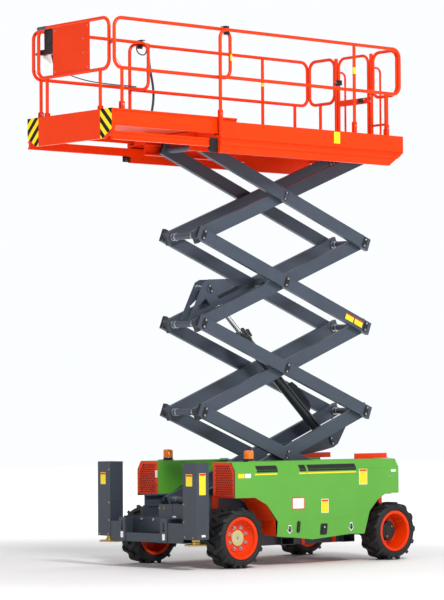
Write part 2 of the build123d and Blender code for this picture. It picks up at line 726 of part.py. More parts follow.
rear_x = chassis_x + rail_rear_x
front_post_x = chassis_x + 1370
side_tubes = []
half_way = (rail_top + rail_mid) / 2
post_r = rail_r - 0.5     # posts and mid rails, let into the bent tubes
for side in (-1, 1):
    y = side * rail_y
    side_tubes.append(rail([(front_post_x, y, gutter_top), (front_post_x, y, rail_top),
                            (rear_x, y, rail_top), (rear_x, y, half_way)]))
    side_tubes.append(rail([(rear_x, y, half_way), (rear_x, y, rail_mid), (front_post_x - 4, y, rail_mid)]))
    side_tubes.append(rail([(chassis_x - 650, y, gutter_top), (chassis_x - 650, y, rail_top - 2)],
                           radius=post_r))
    side_tubes.append(rail([(chassis_x - 1165, y, gutter_top), (chassis_x - 1165, y, rail_mid - 2)],
                           radius=post_r))
with BuildPart() as side_rails:
    for tube in side_tubes:
        add(tube)
save(side_rails, "side_rails")

rear_tubes = []
for inner_y, outer_y in ((345, 733), (-305, -733)):
    rear_tubes.append(rail([(rear_x, inner_y, rail_mid), (rear_x, outer_y, rail_mid),
                            (rear_x, outer_y, rail_top), (rear_x, inner_y, rail_top)], close=True))
for y in (-550, 550):
    rear_tubes.append(rail([(rear_x, y, floor_top), (rear_x, y, rail_mid - 2)], radius=post_r))
for y in post_y:
    rear_tubes.append(rail([(rear_x, y, floor_top), (rear_x, y, rail_top)], radius=22))
    grab_top, grab_low = rail_top - 160, floor_top - 45
    rear_tubes.append(rail([(rear_x, y, grab_top), (chassis_x - 1517.5, y, grab_top),
                            (chassis_x - 1517.5, y, grab_low), (chassis_x + deck_rear, y, grab_low)],
                           bend=60, radius=12.5))
rear_tubes.append(rail([(rear_x, post_y[1], floor_top + 240), (rear_x, 550, floor_top + 240)], radius=14))
with BuildPart() as rear_rails:
    for tube in rear_tubes:
        add(tube)
save(rear_rails, "rear_rails")

gate_low, gate_top = floor_top + 25, rail_top - 10
gate_tube = rail([(rear_x, gate_y[0], gate_low), (rear_x, gate_y[0], gate_top), (rear_x, gate_y[1], gate_top),
                  (rear_x, gate_y[1], gate_low)], radius=17)
with BuildPart() as gate:
    add(gate_tube)
    block((rear_x - 12, rear_x + 12), gate_y, (rail_mid - 55, rail_mid + 15))
save(gate, "gate")

with BuildPart() as deck_brackets:
    for z in (floor_top + 95, rail_mid + 200):
        block((rear_x - 26, rear_x + 26), (post_y[0] + 22, gate_y[0] + 26), (z, z + 60))
        drum((rear_x, gate_y[0], z), 17 + seat, 60, (0, 0, 1), Mode.SUBTRACT)
    for side in (-1, 1):
        # plate and roller that carry the roll-out deck's lower channel
        block(at(deck_front, 1500), (side * 744, side * 752), level(-260, -105))
        drum((chassis_x + 1465, side * 700, floor_top - 224.3), 24, 44, (0, side, 0))
        # guide round the roll-out deck's top rail
        for y, z in ((724, (-63, 30)), (676, (25, 33)), (676, (-40, -32))):
            block(at(1222, 1275), (side * y, side * (rail_y - rail_r)), (ext_rail_top + z[0], ext_rail_top + z[1]))
save(deck_brackets, "deck_brackets")

# ------------------------------------------------------------------ roll-out deck
ext_beam = [(745, 130), (745, 112), (734, 112), (734, -35), (745, -35), (745, -53), (724, -53), (724, 130)]
ext_channel = [(742, -110), (742, -129), (730, -135), (730, -175), (742, -181), (742, -200),
               (697, -200), (697, -110)]
fascia = [(-730, 132), (730, 132), (730, -85), (580, -180), (-580, -180), (-730, -85)]
with BuildPart() as deck_extension:
    end_slab([(y, floor_top + z) for y, z in fascia], at(2805, ext_front))
    for side in (-1, 1):
        end_slab([(side * y, floor_top + z) for y, z in ext_beam], at(1100, 2805))
        end_slab([(side * y, floor_top + z) for y, z in ext_channel], at(350, 2835))
        block(at(2805, 2835), (side * 697, side * 726), level(-165, -45))
    block(at(1100, 2805), (-724, 724), (ext_floor - 12, ext_floor))
save(deck_extension, "deck_extension")

ext_tubes = []
for side in (-1, 1):
    y = side * ext_rail_y
    ext_tubes.append(rail([(chassis_x + 1160, y, ext_rail_mid), (chassis_x + 2787, y, ext_rail_mid),
                           (chassis_x + 2787, y, ext_rail_top), (chassis_x + 1160, y, ext_rail_top)], close=True))
    ext_tubes.append(rail([(chassis_x + 2685, y, ext_floor), (chassis_x + 2685, y, ext_rail_mid - 2)], radius=post_r))
with BuildPart() as ext_side_rails:
    for tube in ext_tubes:
        add(tube)
save(ext_side_rails, "ext_side_rails")

front_x = chassis_x + 2785
front_low, front_top = ext_rail_mid - 3, ext_rail_top + 11
front_tubes = [rail([(front_x, -610, front_low), (front_x, 610, front_low),
                     (front_x, 610, front_top), (front_x, -610, front_top)], close=True)]
for y in (-460, 460):
    front_tubes.append(rail([(front_x, y, ext_floor), (front_x, y, front_low - 2)], radius=post_r))
with BuildPart() as ext_front_rail:
    for tube in front_tubes:
        add(tube)
    block(at(2783, 2787), (-356, 283), (front_low + 10, front_top - 10))
    for side in (-1, 1):
        block(at(2776, 2794), (side * 625, side * 680.7), (front_low + 260, front_low + 282))
save(ext_front_rail, "ext_front_rail")

with BuildPart() as control_box:
    block(at(2650, 2750), (-560, -330), (ext_rail_top - 273, ext_rail_top - 23))
    block(at(2745, 2765.7), (-480, -400), (ext_rail_top - 163, ext_rail_top + 17))
save(control_box, "control_box")


# ------------------------------------------------------------------ cords
def cord(points, diameter):
    """Straight runs joined by arcs as large as the runs allow."""
    knots = [Vector(*p) for p in points]
    radii = []
    for a, b, c in zip(knots, knots[1:], knots[2:]):
        turn = radians((b - a).get_angle(c - b))
        radii.append(0.45 * min((b - a).length, (c - b).length) / tan(turn / 2))
    with BuildPart() as tube:
        with BuildLine() as path:
            FilletPolyline(*points, radius=radii)
        with BuildSketch(path.line ^ 0):
            Circle(diameter / 2)
        sweep()
    return tube


def route(points):
    return [(chassis_x + x, y, z) for x, y, z in points]


control_cable = cord(route([
    (2700, -480, 5589.7), (2699, -480, 5520), (2610, -552, 5468), (2460, -606, 5434), (2310, -640, 5402),
    (2150, -658, 5377), (1990, -663, 5361), (1830, -665, 5357), (1670, -663, 5353), (1510, -665, 5356),
    (1370, -663, 5353),
]), 12)
save(control_cable, "control_cable")
hose_bundle = cord(route([
    (1066, -808.2, 5880), (1064, -808.2, 5825), (1058, -817, 5725), (1030, -818, 5560), (990, -819, 5400),
    (985, -818, 5240), (1020, -819, 5080), (1042, -815.5, 4935), (1042, -814.3, 4800),
]), 28)
save(hose_bundle, "hose_bundle")
hose_loop = cord(route([
    (1250, -801.2, 5885), (1249, -801.2, 5835), (1232, -812, 5772), (1171, -813, 5742), (1105, -812, 5752),
    (1096, -801.2, 5830), (1094, -801.2, 5885),
]), 14)
save(hose_loop, "hose_loop")
charge_cable = cord(route([
    (1243.3, -490, 885), (1290, -489, 884), (1335, -470, 850), (1358, -445, 800), (1369.5, -431.5, 750),
    (1370, -431, 694.3),
]), 10)
save(charge_cable, "charge_cable")
with BuildPart() as charge_plug:
    drum((chassis_x + 1370, -431, 600), 28, 94, (0, 0, 1))
save(charge_plug, "charge_plug")
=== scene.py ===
"""Looks of the rough-terrain scissor lift: finishes, fittings, cords, floor, light and camera."""
import math

import bmesh
import bpy
from mathutils import Matrix, Vector


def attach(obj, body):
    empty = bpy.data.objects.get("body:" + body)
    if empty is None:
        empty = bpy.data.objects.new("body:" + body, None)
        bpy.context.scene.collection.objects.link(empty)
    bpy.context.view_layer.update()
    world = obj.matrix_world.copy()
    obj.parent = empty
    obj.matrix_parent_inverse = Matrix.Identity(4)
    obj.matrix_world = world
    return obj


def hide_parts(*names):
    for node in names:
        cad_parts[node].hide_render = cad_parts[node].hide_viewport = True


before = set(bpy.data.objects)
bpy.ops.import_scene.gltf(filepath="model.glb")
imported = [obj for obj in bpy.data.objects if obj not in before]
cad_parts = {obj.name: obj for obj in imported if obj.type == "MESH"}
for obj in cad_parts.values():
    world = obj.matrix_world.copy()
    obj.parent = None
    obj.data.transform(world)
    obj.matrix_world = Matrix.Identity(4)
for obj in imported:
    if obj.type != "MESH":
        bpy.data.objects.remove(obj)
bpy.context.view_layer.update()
mm = 0.001

# ---------- sizes, in metres
base_x = -0.660             # middle of the wheelbase
base_z = 0.721              # lowest arm pins
arm_len = 2.643             # between an arm's end pins
arm_over = 0.080            # what an arm has beyond its end pin
rest_turn = math.radians(21.6)
rise = arm_len * math.sin(rest_turn)
outer_face = 0.328          # outer arms' outer faces, from the middle plane
axle_front = base_x + 1.1665
axle_rear = base_x - 1.1665
axle_z = 0.328
wheel_y = 0.723             # middle of a tyre
face_y = 0.830              # upright faces of the side covers
jack_x, jack_y = 1.714, 0.728
deck_z = 4.765              # main deck's floor
roll_out_z = 4.784          # roll-out deck's floor
rail_y = 0.775              # main deck's side rails
rear_rail_x = -1.372        # main deck's rear rails, from the middle of the wheelbase
loop_y = 0.700              # roll-out deck's side loops
front_rail_x = 2.785        # roll-out deck's front loop, from the middle of the wheelbase
plate_offs = (-0.0205, 0.0175)      # where the two plates of a rail socket start, from the post's middle
film_thick = 0.0006
film_gap = 0.0002           # between a film and the coat it stands on
sides = (("left", 1), ("right", -1))
X, Y, Z = Vector((1, 0, 0)), Vector((0, 1, 0)), Vector((0, 0, 1))


def at(x, y, z):
    """A point whose x is given from the middle of the wheelbase."""
    return Vector((base_x + x, y, z))


# ---------- finishes
def linear(colour):
    """An sRGB hex colour as linear light."""
    parts = [int(colour[i:i + 2], 16) / 255 for i in (1, 3, 5)]
    return tuple(c / 12.92 if c <= 0.04045 else ((c + 0.055) / 1.055) ** 2.4 for c in parts) + (1,)


def add(tree, kind, inputs=None, **settings):
    """One node with its settings; an input is a value or another node's socket."""
    made = tree.nodes.new(kind)
    for key, value in settings.items():
        setattr(made, key, value)
    for key, value in (inputs or {}).items():
        if isinstance(value, bpy.types.NodeSocket):
            tree.links.new(value, made.inputs[key])
        else:
            made.inputs[key].default_value = value
    return made


def finish(name, shade, relief=None, **sockets):
    """A material whose colour and roughness come from shade(tree), and bump from relief(tree)."""
    made = bpy.data.materials.new(name)
    made.use_nodes = True
    tree = made.node_tree
    tree.nodes.clear()
    inputs = dict(sockets)
    inputs.update(shade(tree))
    if relief:
        inputs["Normal"] = relief(tree)
    shader = add(tree, "ShaderNodeBsdfPrincipled", inputs)
    add(tree, "ShaderNodeOutputMaterial", {"Surface": shader.outputs[0]})
    return made


def blotch(tree, low, high, size, detail=3.0):
    """A colour that drifts between two hex colours over patches of that size in metres."""
    place = add(tree, "ShaderNodeTexCoord").outputs["Object"]
    noise = add(tree, "ShaderNodeTexNoise", {"Vector": place, "Scale": 1 / size, "Detail": detail})
    return add(tree, "ShaderNodeMix", {"Factor": noise.outputs["Fac"], "A": linear(low),
                                       "B": linear(high)}, data_type="RGBA").outputs["Result"]


def spread(tree, low, high, size):
    """A roughness that drifts between two values over patches of that size in metres."""
    place = add(tree, "ShaderNodeTexCoord").outputs["Object"]
    noise = add(tree, "ShaderNodeTexNoise", {"Vector": place, "Scale": 1 / size, "Detail": 2.0})
    return add(tree, "ShaderNodeMapRange", {"Value": noise.outputs["Fac"], "To Min": low,
                                            "To Max": high}).outputs[0]


def pebble(size, depth):
    """Bump of rounded grains of that size and depth in metres."""
    def made(tree):
        place = add(tree, "ShaderNodeTexCoord").outputs["Object"]
        noise = add(tree, "ShaderNodeTexNoise", {"Vector": place, "Scale": 1 / size, "Detail": 2.0})
        return add(tree, "ShaderNodeBump", {"Height": noise.outputs["Fac"], "Distance": depth,
                                            "Strength": 0.5}).outputs[0]
    return made


def surface(name, low, high, patch, rough, rough_patch, relief=None, **sockets):
    """A finish whose colour and roughness drift, each over patches of its own size in metres."""
    return finish(name, lambda t: {"Base Color": blotch(t, low, high, patch),
                                   "Roughness": spread(t, *rough, rough_patch)}, relief, **sockets)


coat_peel = pebble(0.006, 0.0002)
mould_grain = pebble(0.0015, 0.0001)


def powder_coat(name, low, high, gloss=(0.30, 0.40), shine=0.5):
    """Polyester powder coat, sprayed and baked: even colour, satin gloss, fine orange peel."""
    return surface(name, low, high, 0.35, gloss, 0.12, coat_peel, IOR=1.46,
                   **{"Specular IOR Level": shine, "Coat Weight": 0.06, "Coat Roughness": 0.15})


# body colour: strong and flat, the lamps hardly show in it
orange_coat = powder_coat("orange_red_powder_coat", "#EA3400", "#F44102", shine=0.25)
# covers: fresh mid green with a satin sheen
green_coat = powder_coat("green_powder_coat", "#58A734", "#65B33F")
# scissor arms: cool blue-grey that shows the light along each arm
slate_coat = powder_coat("slate_grey_powder_coat", "#3C444F", "#485260", (0.32, 0.42))
# frame and jack boxes: darker and a little duller than the arms
dark_coat = powder_coat("charcoal_powder_coat", "#353B45", "#3F4651", (0.36, 0.46))
# cylinder barrel: nearly black, glossy enough for one long highlight
gloss_coat = powder_coat("glossy_dark_cylinder_coat", "#22262C", "#2B3037", (0.18, 0.26))
# brackets, axles and keepers: black with a dull sheen, so edges still read
black_coat = powder_coat("black_powder_coat", "#141518", "#1D1E22", (0.38, 0.48))
# front hubs: warm cream, glossier than the coats round it
cream_enamel = powder_coat("cream_enamel", "#C9BE86", "#D6CC98", (0.25, 0.35))
# tyres: charcoal and dull, with a fine mould grain and patches a little paler
tyre_rubber = surface("moulded_tyre_rubber", "#111314", "#1D1F21", 0.05, (0.6, 0.78), 0.03,
                      pebble(0.004, 0.0004), IOR=1.52)
# cords and seals: smoother and greyer than the tyres, a soft sheen along the length
cable_rubber = surface("extruded_cable_rubber", "#20242C", "#2E343E", 0.02, (0.42, 0.55), 0.01,
                       pebble(0.003, 0.0002), IOR=1.5)
# cylinder rod: ground smooth, mirrors what is round it with a soft edge
hard_chrome = surface("ground_hard_chrome", "#C9CCD0", "#E2E4E6", 0.05, (0.08, 0.16), 0.02, Metallic=1.0)
# screws, nuts and plated sheet: pale silver, slightly cloudy
zinc_plate = surface("zinc_plated_steel", "#B4B6B8", "#D0D2D4", 0.01, (0.25, 0.4), 0.01, Metallic=1.0)
# yellow-passivated zinc on fittings: pale gold, uneven from spot to spot
gold_zinc = surface("yellow_passivated_zinc", "#B58F45", "#D8BC6A", 0.006, (0.25, 0.4), 0.01, Metallic=1.0)
# handles, boxes and bases: near black with a fine grain that breaks the highlight
black_plastic = surface("moulded_black_abs", "#131417", "#1B1C20", 0.05, (0.45, 0.6), 0.02, mould_grain,
                        IOR=1.52)
# beacon lenses: full amber under a wet-looking gloss
amber_lens = surface("amber_acrylic_lens", "#E8660A", "#F88A18", 0.03, (0.08, 0.14), 0.02, IOR=1.49,
                     **{"Coat Weight": 0.5, "Coat Roughness": 0.05})
# charging plug: clear blue, half-gloss
blue_plastic = surface("moulded_blue_polyamide", "#1A63B4", "#2576CB", 0.02, (0.3, 0.42), 0.01, mould_grain,
                       IOR=1.52)


def vinyl(name, colour, edge):
    """Printed vinyl film: flat colour, smooth, a little glossier than the coat beneath."""
    return surface(name, colour, edge, 0.08, (0.28, 0.36), 0.02, IOR=1.46)


yellow_vinyl = vinyl("yellow_vinyl_film", "#F7DC12", "#FFE52A")
white_vinyl = vinyl("white_vinyl_film", "#EDEDEA", "#F7F7F4")
black_vinyl = vinyl("black_vinyl_film", "#151518", "#1F1F22")
red_vinyl = vinyl("red_vinyl_film", "#D8231C", "#E53128")


stripe_run = 0.134          # up the board, so the stripes repeat every 95 mm square to themselves
board_face = 2.1895         # what lies beyond this x is the front board's face
film_from = 0.535           # each end's film starts here, off the middle plane


def hazard(tree):
    """The orange-red coat, with black and yellow diagonals at the front board's two ends."""
    place = add(tree, "ShaderNodeTexCoord").outputs["Object"]
    axes = add(tree, "ShaderNodeSeparateXYZ", {0: place})
    out = add(tree, "ShaderNodeMath", {0: axes.outputs["Y"]}, operation="ABSOLUTE").outputs[0]
    slant = add(tree, "ShaderNodeMath", {0: axes.outputs["Z"], 1: out}, operation="ADD").outputs[0]
    run = add(tree, "ShaderNodeMath", {0: slant, 1: stripe_run}, operation="FLOORED_MODULO").outputs[0]
    dark = add(tree, "ShaderNodeMath", {0: run, 1: stripe_run / 2}, operation="GREATER_THAN").outputs[0]
    film = add(tree, "ShaderNodeMix", {"Factor": dark, "A": linear("#FFE21A"), "B": linear("#161618")},
               data_type="RGBA").outputs["Result"]
    front = add(tree, "ShaderNodeMath", {0: axes.outputs["X"], 1: board_face}, operation="GREATER_THAN")
    ends = add(tree, "ShaderNodeMath", {0: out, 1: film_from}, operation="GREATER_THAN")
    where = add(tree, "ShaderNodeMath", {0: front.outputs[0], 1: ends.outputs[0]}, operation="MULTIPLY")
    coat = blotch(tree, "#EA3400", "#F44102", 0.35)
    colour = add(tree, "ShaderNodeMix", {"Factor": where.outputs[0], "A": coat, "B": film},
                 data_type="RGBA").outputs["Result"]
    return {"Base Color": colour, "Roughness": spread(tree, 0.30, 0.40, 0.12)}


# the roll-out deck's coat, with the striped films at both ends of its front board
hazard_coat = finish("orange_red_coat_with_hazard_films", hazard, coat_peel, IOR=1.46,
                     **{"Specular IOR Level": 0.25})

paint = {
    hazard_coat: ["deck_extension"],
    orange_coat: ["tray_brackets", "module_trays", "front_grilles", "rear_steps", "deck_main", "side_rails",
                  "rear_rails", "gate", "ext_side_rails", "ext_front_rail", "rim_front_left",
                  "rim_front_right", "rim_rear_left", "rim_rear_right"],
    green_coat: ["module_housings", "cover_left", "cover_right"],
    gloss_coat: ["cylinder_barrel"],
    slate_coat: ["scissor_base"]
    + [f"{kind}_arms_{i}" for kind in ("outer", "inner") for i in (1, 2, 3, 4)],
    dark_coat: ["chassis_frame", "frame_skids", "cross_frames", "fork_pockets", "jack_boxes", "jack_left",
                "jack_right", "front_bumper"],
    black_coat: ["front_axle", "rear_axle", "knuckle_left", "knuckle_right", "tie_rod", "deck_brackets",
                 "hub_rear_left", "hub_rear_right"],
    black_plastic: ["battery_blocks", "control_box"],
    cable_rubber: ["control_cable", "hose_bundle", "hose_loop", "charge_cable"],
    tyre_rubber: ["tyre_front_left", "tyre_front_right", "tyre_rear_left", "tyre_rear_right"],
    hard_chrome: ["cylinder_rod"],
    cream_enamel: ["hub_front_left", "hub_front_right"],
    amber_lens: ["beacons"],
    blue_plastic: ["charge_plug"],
}
for material, names in paint.items():
    for name in names:
        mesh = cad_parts[name].data
        mesh.materials.clear()
        mesh.materials.append(material)

# the record's slot that each finish of an added piece goes by
slots = {
    orange_coat: "red paint", green_coat: "green paint", slate_coat: "grey paint", dark_coat: "dark paint",
    gloss_coat: "grey paint", black_coat: "black paint", cream_enamel: "cream paint",
    cable_rubber: "cable rubber", zinc_plate: "chromed steel", gold_zinc: "chromed steel",
    black_plastic: "black plastic", blue_plastic: "blue plastic", amber_lens: "amber lens",
    yellow_vinyl: "cream paint", white_vinyl: "cream paint", black_vinyl: "black paint",
    red_vinyl: "red paint",
}


# ---------- ways of making a piece
class Piece:
    """Parts of one material on one body, gathered into one mesh."""

    def __init__(self, name, material, body, crease=35, slot=None):
        self.name, self.material, self.body = name, material, body
        self.slot = slot or slots[material]
        self.mesh = bmesh.new()
        self.crease = math.radians(crease)

    def plate(self, outline, origin, across, up, depth, chamfer=0.0):
        """A flat outline of (across, up) raised by depth, its front edge broken by a chamfer."""
        across, up = Vector(across).normalized(), Vector(up).normalized()
        out = across.cross(up)
        origin = Vector(origin)
        middle = [sum(p[i] for p in outline) / len(outline) for i in (0, 1)]
        rings = []
        steps = [(0, 0.0), (depth - chamfer, 0.0)] + ([(depth, chamfer)] if chamfer else [])
        for height, inset in steps:
            ring = []
            for a, b in outline:
                reach = math.hypot(a - middle[0], b - middle[1]) or 1
                shrink = 1 - inset / reach
                a2 = middle[0] + (a - middle[0]) * shrink
                b2 = middle[1] + (b - middle[1]) * shrink
                ring.append(self.mesh.verts.new(origin + across * a2 + up * b2 + out * height))
            rings.append(ring)
        n = len(outline)
        for low, high in zip(rings, rings[1:]):
            for i in range(n):
                self.mesh.faces.new((low[i], low[(i + 1) % n], high[(i + 1) % n], high[i]))
        self.mesh.faces.new(list(reversed(rings[0])))
        self.mesh.faces.new(rings[-1])
        return self

    def turned(self, profile, origin, axis, segments=32, start=0.0):
        """A profile of (radius, along) turned about an axis."""
        axis = Vector(axis).normalized()
        side = axis.orthogonal().normalized()
        other = axis.cross(side)
        origin = Vector(origin)
        rings = []
        for radius, along in profile:
            if radius < 1e-6:
                rings.append([self.mesh.verts.new(origin + axis * along)])
                continue
            ring = []
            for i in range(segments):
                turn = 2 * math.pi * i / segments + start
                ring.append(self.mesh.verts.new(
                    origin + axis * along + (side * math.cos(turn) + other * math.sin(turn)) * radius))
            rings.append(ring)
        for low, high in zip(rings, rings[1:]):
            for i in range(segments):
                j = (i + 1) % segments
                corners = [low[i % len(low)], low[j % len(low)], high[j % len(high)], high[i % len(high)]]
                corners = [c for k, c in enumerate(corners) if c not in corners[:k]]
                if len(corners) > 2:
                    self.mesh.faces.new(corners)
        for ring, back in ((rings[0], True), (rings[-1], False)):
            if len(ring) > 2:
                self.mesh.faces.new(list(reversed(ring)) if back else ring)
        return self

    def film(self, outline, origin, across):
        """A thin upright film."""
        return self.plate(outline, origin, across, Z, film_thick)

    def bolt(self, origin, axis, radius, height, washer=1.35):
        """Washer, hex head with a turned top."""
        thick = height * 0.22
        self.turned([(radius * washer, 0), (radius * washer, thick)], origin, axis, 20)
        head = Vector(origin) + Vector(axis).normalized() * thick
        self.turned([(radius, 0), (radius, height * 0.7), (radius * 0.86, height * 0.78)], head, axis, 6)
        return self

    def hose(self, points, radius, segments=10):
        """A round tube along points."""
        points = [Vector(p) for p in points]
        rings = []
        side = None
        for i, point in enumerate(points):
            way = (points[min(i + 1, len(points) - 1)] - points[max(i - 1, 0)]).normalized()
            side = way.orthogonal() if side is None else side - way * side.dot(way)
            side.normalize()
            other = way.cross(side)
            rings.append([self.mesh.verts.new(point + (side * math.cos(t) + other * math.sin(t)) * radius)
                          for t in (2 * math.pi * k / segments for k in range(segments))])
        for low, high in zip(rings, rings[1:]):
            for k in range(segments):
                self.mesh.faces.new((low[k], low[(k + 1) % segments], high[(k + 1) % segments], high[k]))
        self.mesh.faces.new(list(reversed(rings[0])))
        self.mesh.faces.new(rings[-1])
        return self

    def done(self, replaces=()):
        """The mesh as an object on its body, smooth except over edges sharper than the crease."""
        data = bpy.data.meshes.new(self.name)
        bmesh.ops.recalc_face_normals(self.mesh, faces=self.mesh.faces)
        for face in self.mesh.faces:
            face.smooth = True
        for edge in self.mesh.edges:
            edge.smooth = len(edge.link_faces) == 2 and edge.calc_face_angle(0) < self.crease
        self.mesh.to_mesh(data)
        self.mesh.free()
        data.materials.append(self.material)
        made = bpy.data.objects.new(self.name, data)
        bpy.context.scene.collection.objects.link(made)
        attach(made, self.body)
        if replaces:
            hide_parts(*replaces)
        return made


def rounded(width, height, radius, steps=5, middle=(0, 0)):
    """Outline of a rectangle with round corners."""
    points = []
    for cx, cy, start in ((1, 1, 0), (-1, 1, 90), (-1, -1, 180), (1, -1, 270)):
        for i in range(steps + 1):
            turn = math.radians(start + 90 * i / steps)
            points.append((middle[0] + cx * (width / 2 - radius) + radius * math.cos(turn),
                           middle[1] + cy * (height / 2 - radius) + radius * math.sin(turn)))
    return points


# ---------- scissor
def arm_point(stage, way, along, off, y):
    """A point on an arm: along it from its middle, and square to it; way is 1 on outer arms, -1 on inner."""
    c, s = math.cos(rest_turn), math.sin(rest_turn)
    return at(way * (along * c - off * s), y, base_z + rise * (stage + 0.5) + along * s + off * c)


def arm_run(way):
    """The way an arm runs, from its low end to its high end."""
    return Vector((way * math.cos(rest_turn), 0, math.sin(rest_turn)))


half_arm = arm_len / 2
for stage in range(4):
    outer, inner = f"outer_arms_{stage + 1}", f"inner_arms_{stage + 1}"
    # keeper plate with two bolts over each pin
    keepers = Piece(f"keeper_plates_{stage + 1}", black_coat, outer)
    bolts = Piece(f"keeper_bolts_{stage + 1}", zinc_plate, outer)
    spots = [0.0] + ([-half_arm] if stage > 0 else []) + ([half_arm] if stage < 3 else [])
    for spot in spots:
        # the middle pins of the first and last stage pass close inside the base and the deck, so their
        # keepers lie flat on the arm; the others stand off it on short rounds
        flat = spot == 0.0 and stage in (0, 3)
        lift, thick, tall = (0.0004, 0.003, 0.003) if flat else (0.0065, 0.006, 0.009)
        for side in (1, -1):
            out = Y * side
            square = out.cross(arm_run(1))
            centre = arm_point(stage, 1, spot, 0, side * (outer_face + lift))
            keepers.plate(rounded(0.052, 0.118, 0.0259, 8), centre, arm_run(1), square, thick, 0.001)
            if not flat:
                keepers.turned([(0.024, -lift), (0.024, 0)], centre, out, 24)
            for end in (-1, 1):
                foot = centre + square * (0.039 * end)
                if not flat:
                    keepers.turned([(0.013, -lift), (0.013, 0)], foot, out, 16)
                bolts.bolt(foot + out * thick, out, 0.0095, tall)
    keepers.done()
    bolts.done()
    # black films on the forward end faces of the box-section arms: painted shade standing in for the dark
    # inside of their open ends
    for body, way, y in ((outer, 1, 0.303), (inner, -1, 0.240)):
        end_shades = Piece(f"painted_end_shade_{body}", black_coat, body)
        run = arm_run(way) * way
        for side in (1, -1):
            end = arm_point(stage, way, way * (half_arm + arm_over), 0, side * y)
            end_shades.plate(rounded(0.038, 0.131, 0.004, 2), end - run * 0.0001, Y, run.cross(Y), 0.0012)
        end_shades.done()
    # collars on the cross tubes of the inner arms
    collars = Piece(f"cross_tube_collars_{stage + 1}", zinc_plate, inner)
    for spot in (-half_arm, half_arm):
        for side in (1, -1):
            for y in (0.135, 0.188):
                collars.turned([(0.037, 0), (0.043, 0.002), (0.043, 0.014), (0.037, 0.016)],
                               arm_point(stage, -1, spot, 0, side * y), Y * side, 32)
    collars.done()

# two blank warning plates on the third outer arm, each a yellow film with a red head over it
for name, material, shift, gap, tall in (("arm_labels_yellow", yellow_vinyl, 0, 0.0004, 0.072),
                                         ("arm_labels_red", red_vinyl, 0.030, 0.0009, 0.014)):
    labels = Piece(name, material, "outer_arms_3", slot="cream paint")
    for along in (-1.206, -1.055):
        labels.plate(rounded(0.132, tall, 0.004, 2), arm_point(2, 1, along, shift, outer_face + gap),
                     -arm_run(1), Y.cross(-arm_run(1)), 0.0005)
    labels.done()

# ---------- lift cylinder
foot_pin = (0.8965, -0.202)         # along and off the first inner arms
eye_pin = (-0.899, 0.260)           # along and off the third inner arms
ram_base = arm_point(0, -1, *foot_pin, 0)
ram_eye = arm_point(2, -1, *eye_pin, 0)
ram_way = (ram_eye - ram_base).normalized()
ram_reach = (ram_eye - ram_base).length
ram_side = ram_way.cross(Y)
gland = 1.820                       # the barrel's open end, from its foot
block_at = 1.42                     # the upper oil port's block, from the foot
port_at = 0.20                      # the lower oil port


def ram_point(along, off=0.0, y=0.0):
    """A point along the cylinder from its foot, square to it, and sideways."""
    return ram_base + ram_way * along + ram_side * off + Y * y


head = Piece("cylinder_gland", black_coat, "cylinder_barrel")
head.turned([(0.058, gland - 0.16), (0.0655, gland - 0.155), (0.0655, gland - 0.100),
             (0.0635, gland - 0.096), (0.0635, gland - 0.090), (0.0655, gland - 0.086),
             (0.0655, gland - 0.012), (0.062, gland - 0.004), (0.034, gland - 0.001)], ram_base, ram_way, 40)
head.plate(rounded(0.11, 0.07, 0.008, 3), ram_point(block_at, 0.054), ram_way, Y, 0.032, 0.004)
for along in (block_at - 0.03, block_at + 0.03):
    for y in (-0.022, 0.022):
        head.turned([(0.009, 0), (0.009, 0.006), (0.006, 0.008)], ram_point(along, 0.086, y), ram_side, 6)
head.done()
ports = Piece("cylinder_ports", gold_zinc, "cylinder_barrel")
for along in (block_at, port_at):
    ports.turned([(0.016, 0), (0.016, 0.026), (0.012, 0.029), (0.012, 0.036)],
                 ram_point(along, 0.005, 0.038), Y, 6)
ports.done()
pipe = Piece("cylinder_pipe", gloss_coat, "cylinder_barrel")
pipe.hose([ram_point(along, 0.005, 0.0665) for along in (port_at, 0.60, 1.00, block_at)], 0.008, 12)
pipe.done()
wiper = Piece("rod_wiper_and_eye_bush", gold_zinc, "cylinder_rod")
for side in (1, -1):
    wiper.turned([(0.026, 0), (0.036, 0.0), (0.036, 0.0015), (0.026, 0.0015)],
                 ram_point(ram_reach, 0, side * 0.066), Y * side, 32)
wiper.done()
eye_block = Piece("rod_eye_port_block", black_coat, "cylinder_rod")
eye_block.plate(rounded(0.12, 0.07, 0.008, 3), ram_point(ram_reach - 0.13, -0.038), ram_way, -Y,
                0.055, 0.004)
eye_block.turned([(0.040, 0), (0.040, 0.045), (0.034, 0.05)], ram_point(ram_reach - 0.185), ram_way, 32)
eye_block.done()
# bolted keepers of the cylinder's own two pins
for name, stage, pin in (("foot_pin_keepers", 0, foot_pin), ("eye_pin_keepers", 2, eye_pin)):
    plates = Piece(name, black_coat, f"inner_arms_{stage + 1}")
    heads = Piece(name + "_bolts", zinc_plate, f"inner_arms_{stage + 1}")
    for side in (1, -1):
        out = Y * side
        centre = arm_point(stage, -1, *pin, side * 0.089)
        square = out.cross(arm_run(-1))
        plates.plate(rounded(0.036, 0.096, 0.0179, 6), centre + out * 0.0003, arm_run(-1), square,
                     0.006, 0.001)
        for end in (-1, 1):
            heads.bolt(centre + square * (0.032 * end) + out * 0.006, out, 0.0085, 0.008)
    plates.done()
    heads.done()


# ---------- wheels
def wheel_nuts(name, x, side, out, radius, count, size, body):
    """A ring of wheel nuts, with the ends of the studs showing."""
    nuts = Piece(name, zinc_plate, body)
    for i in range(count):
        turn = 2 * math.pi * (i + 0.5) / count
        foot = (x + radius * math.cos(turn), side * out, axle_z + radius * math.sin(turn))
        nuts.bolt(foot, Y * side, size, size * 1.5, 1.45)
        nuts.turned([(size * 0.5, size * 1.5), (size * 0.5, size * 2.3), (size * 0.4, size * 2.45)],
                    foot, Y * side, 12)
    nuts.done()


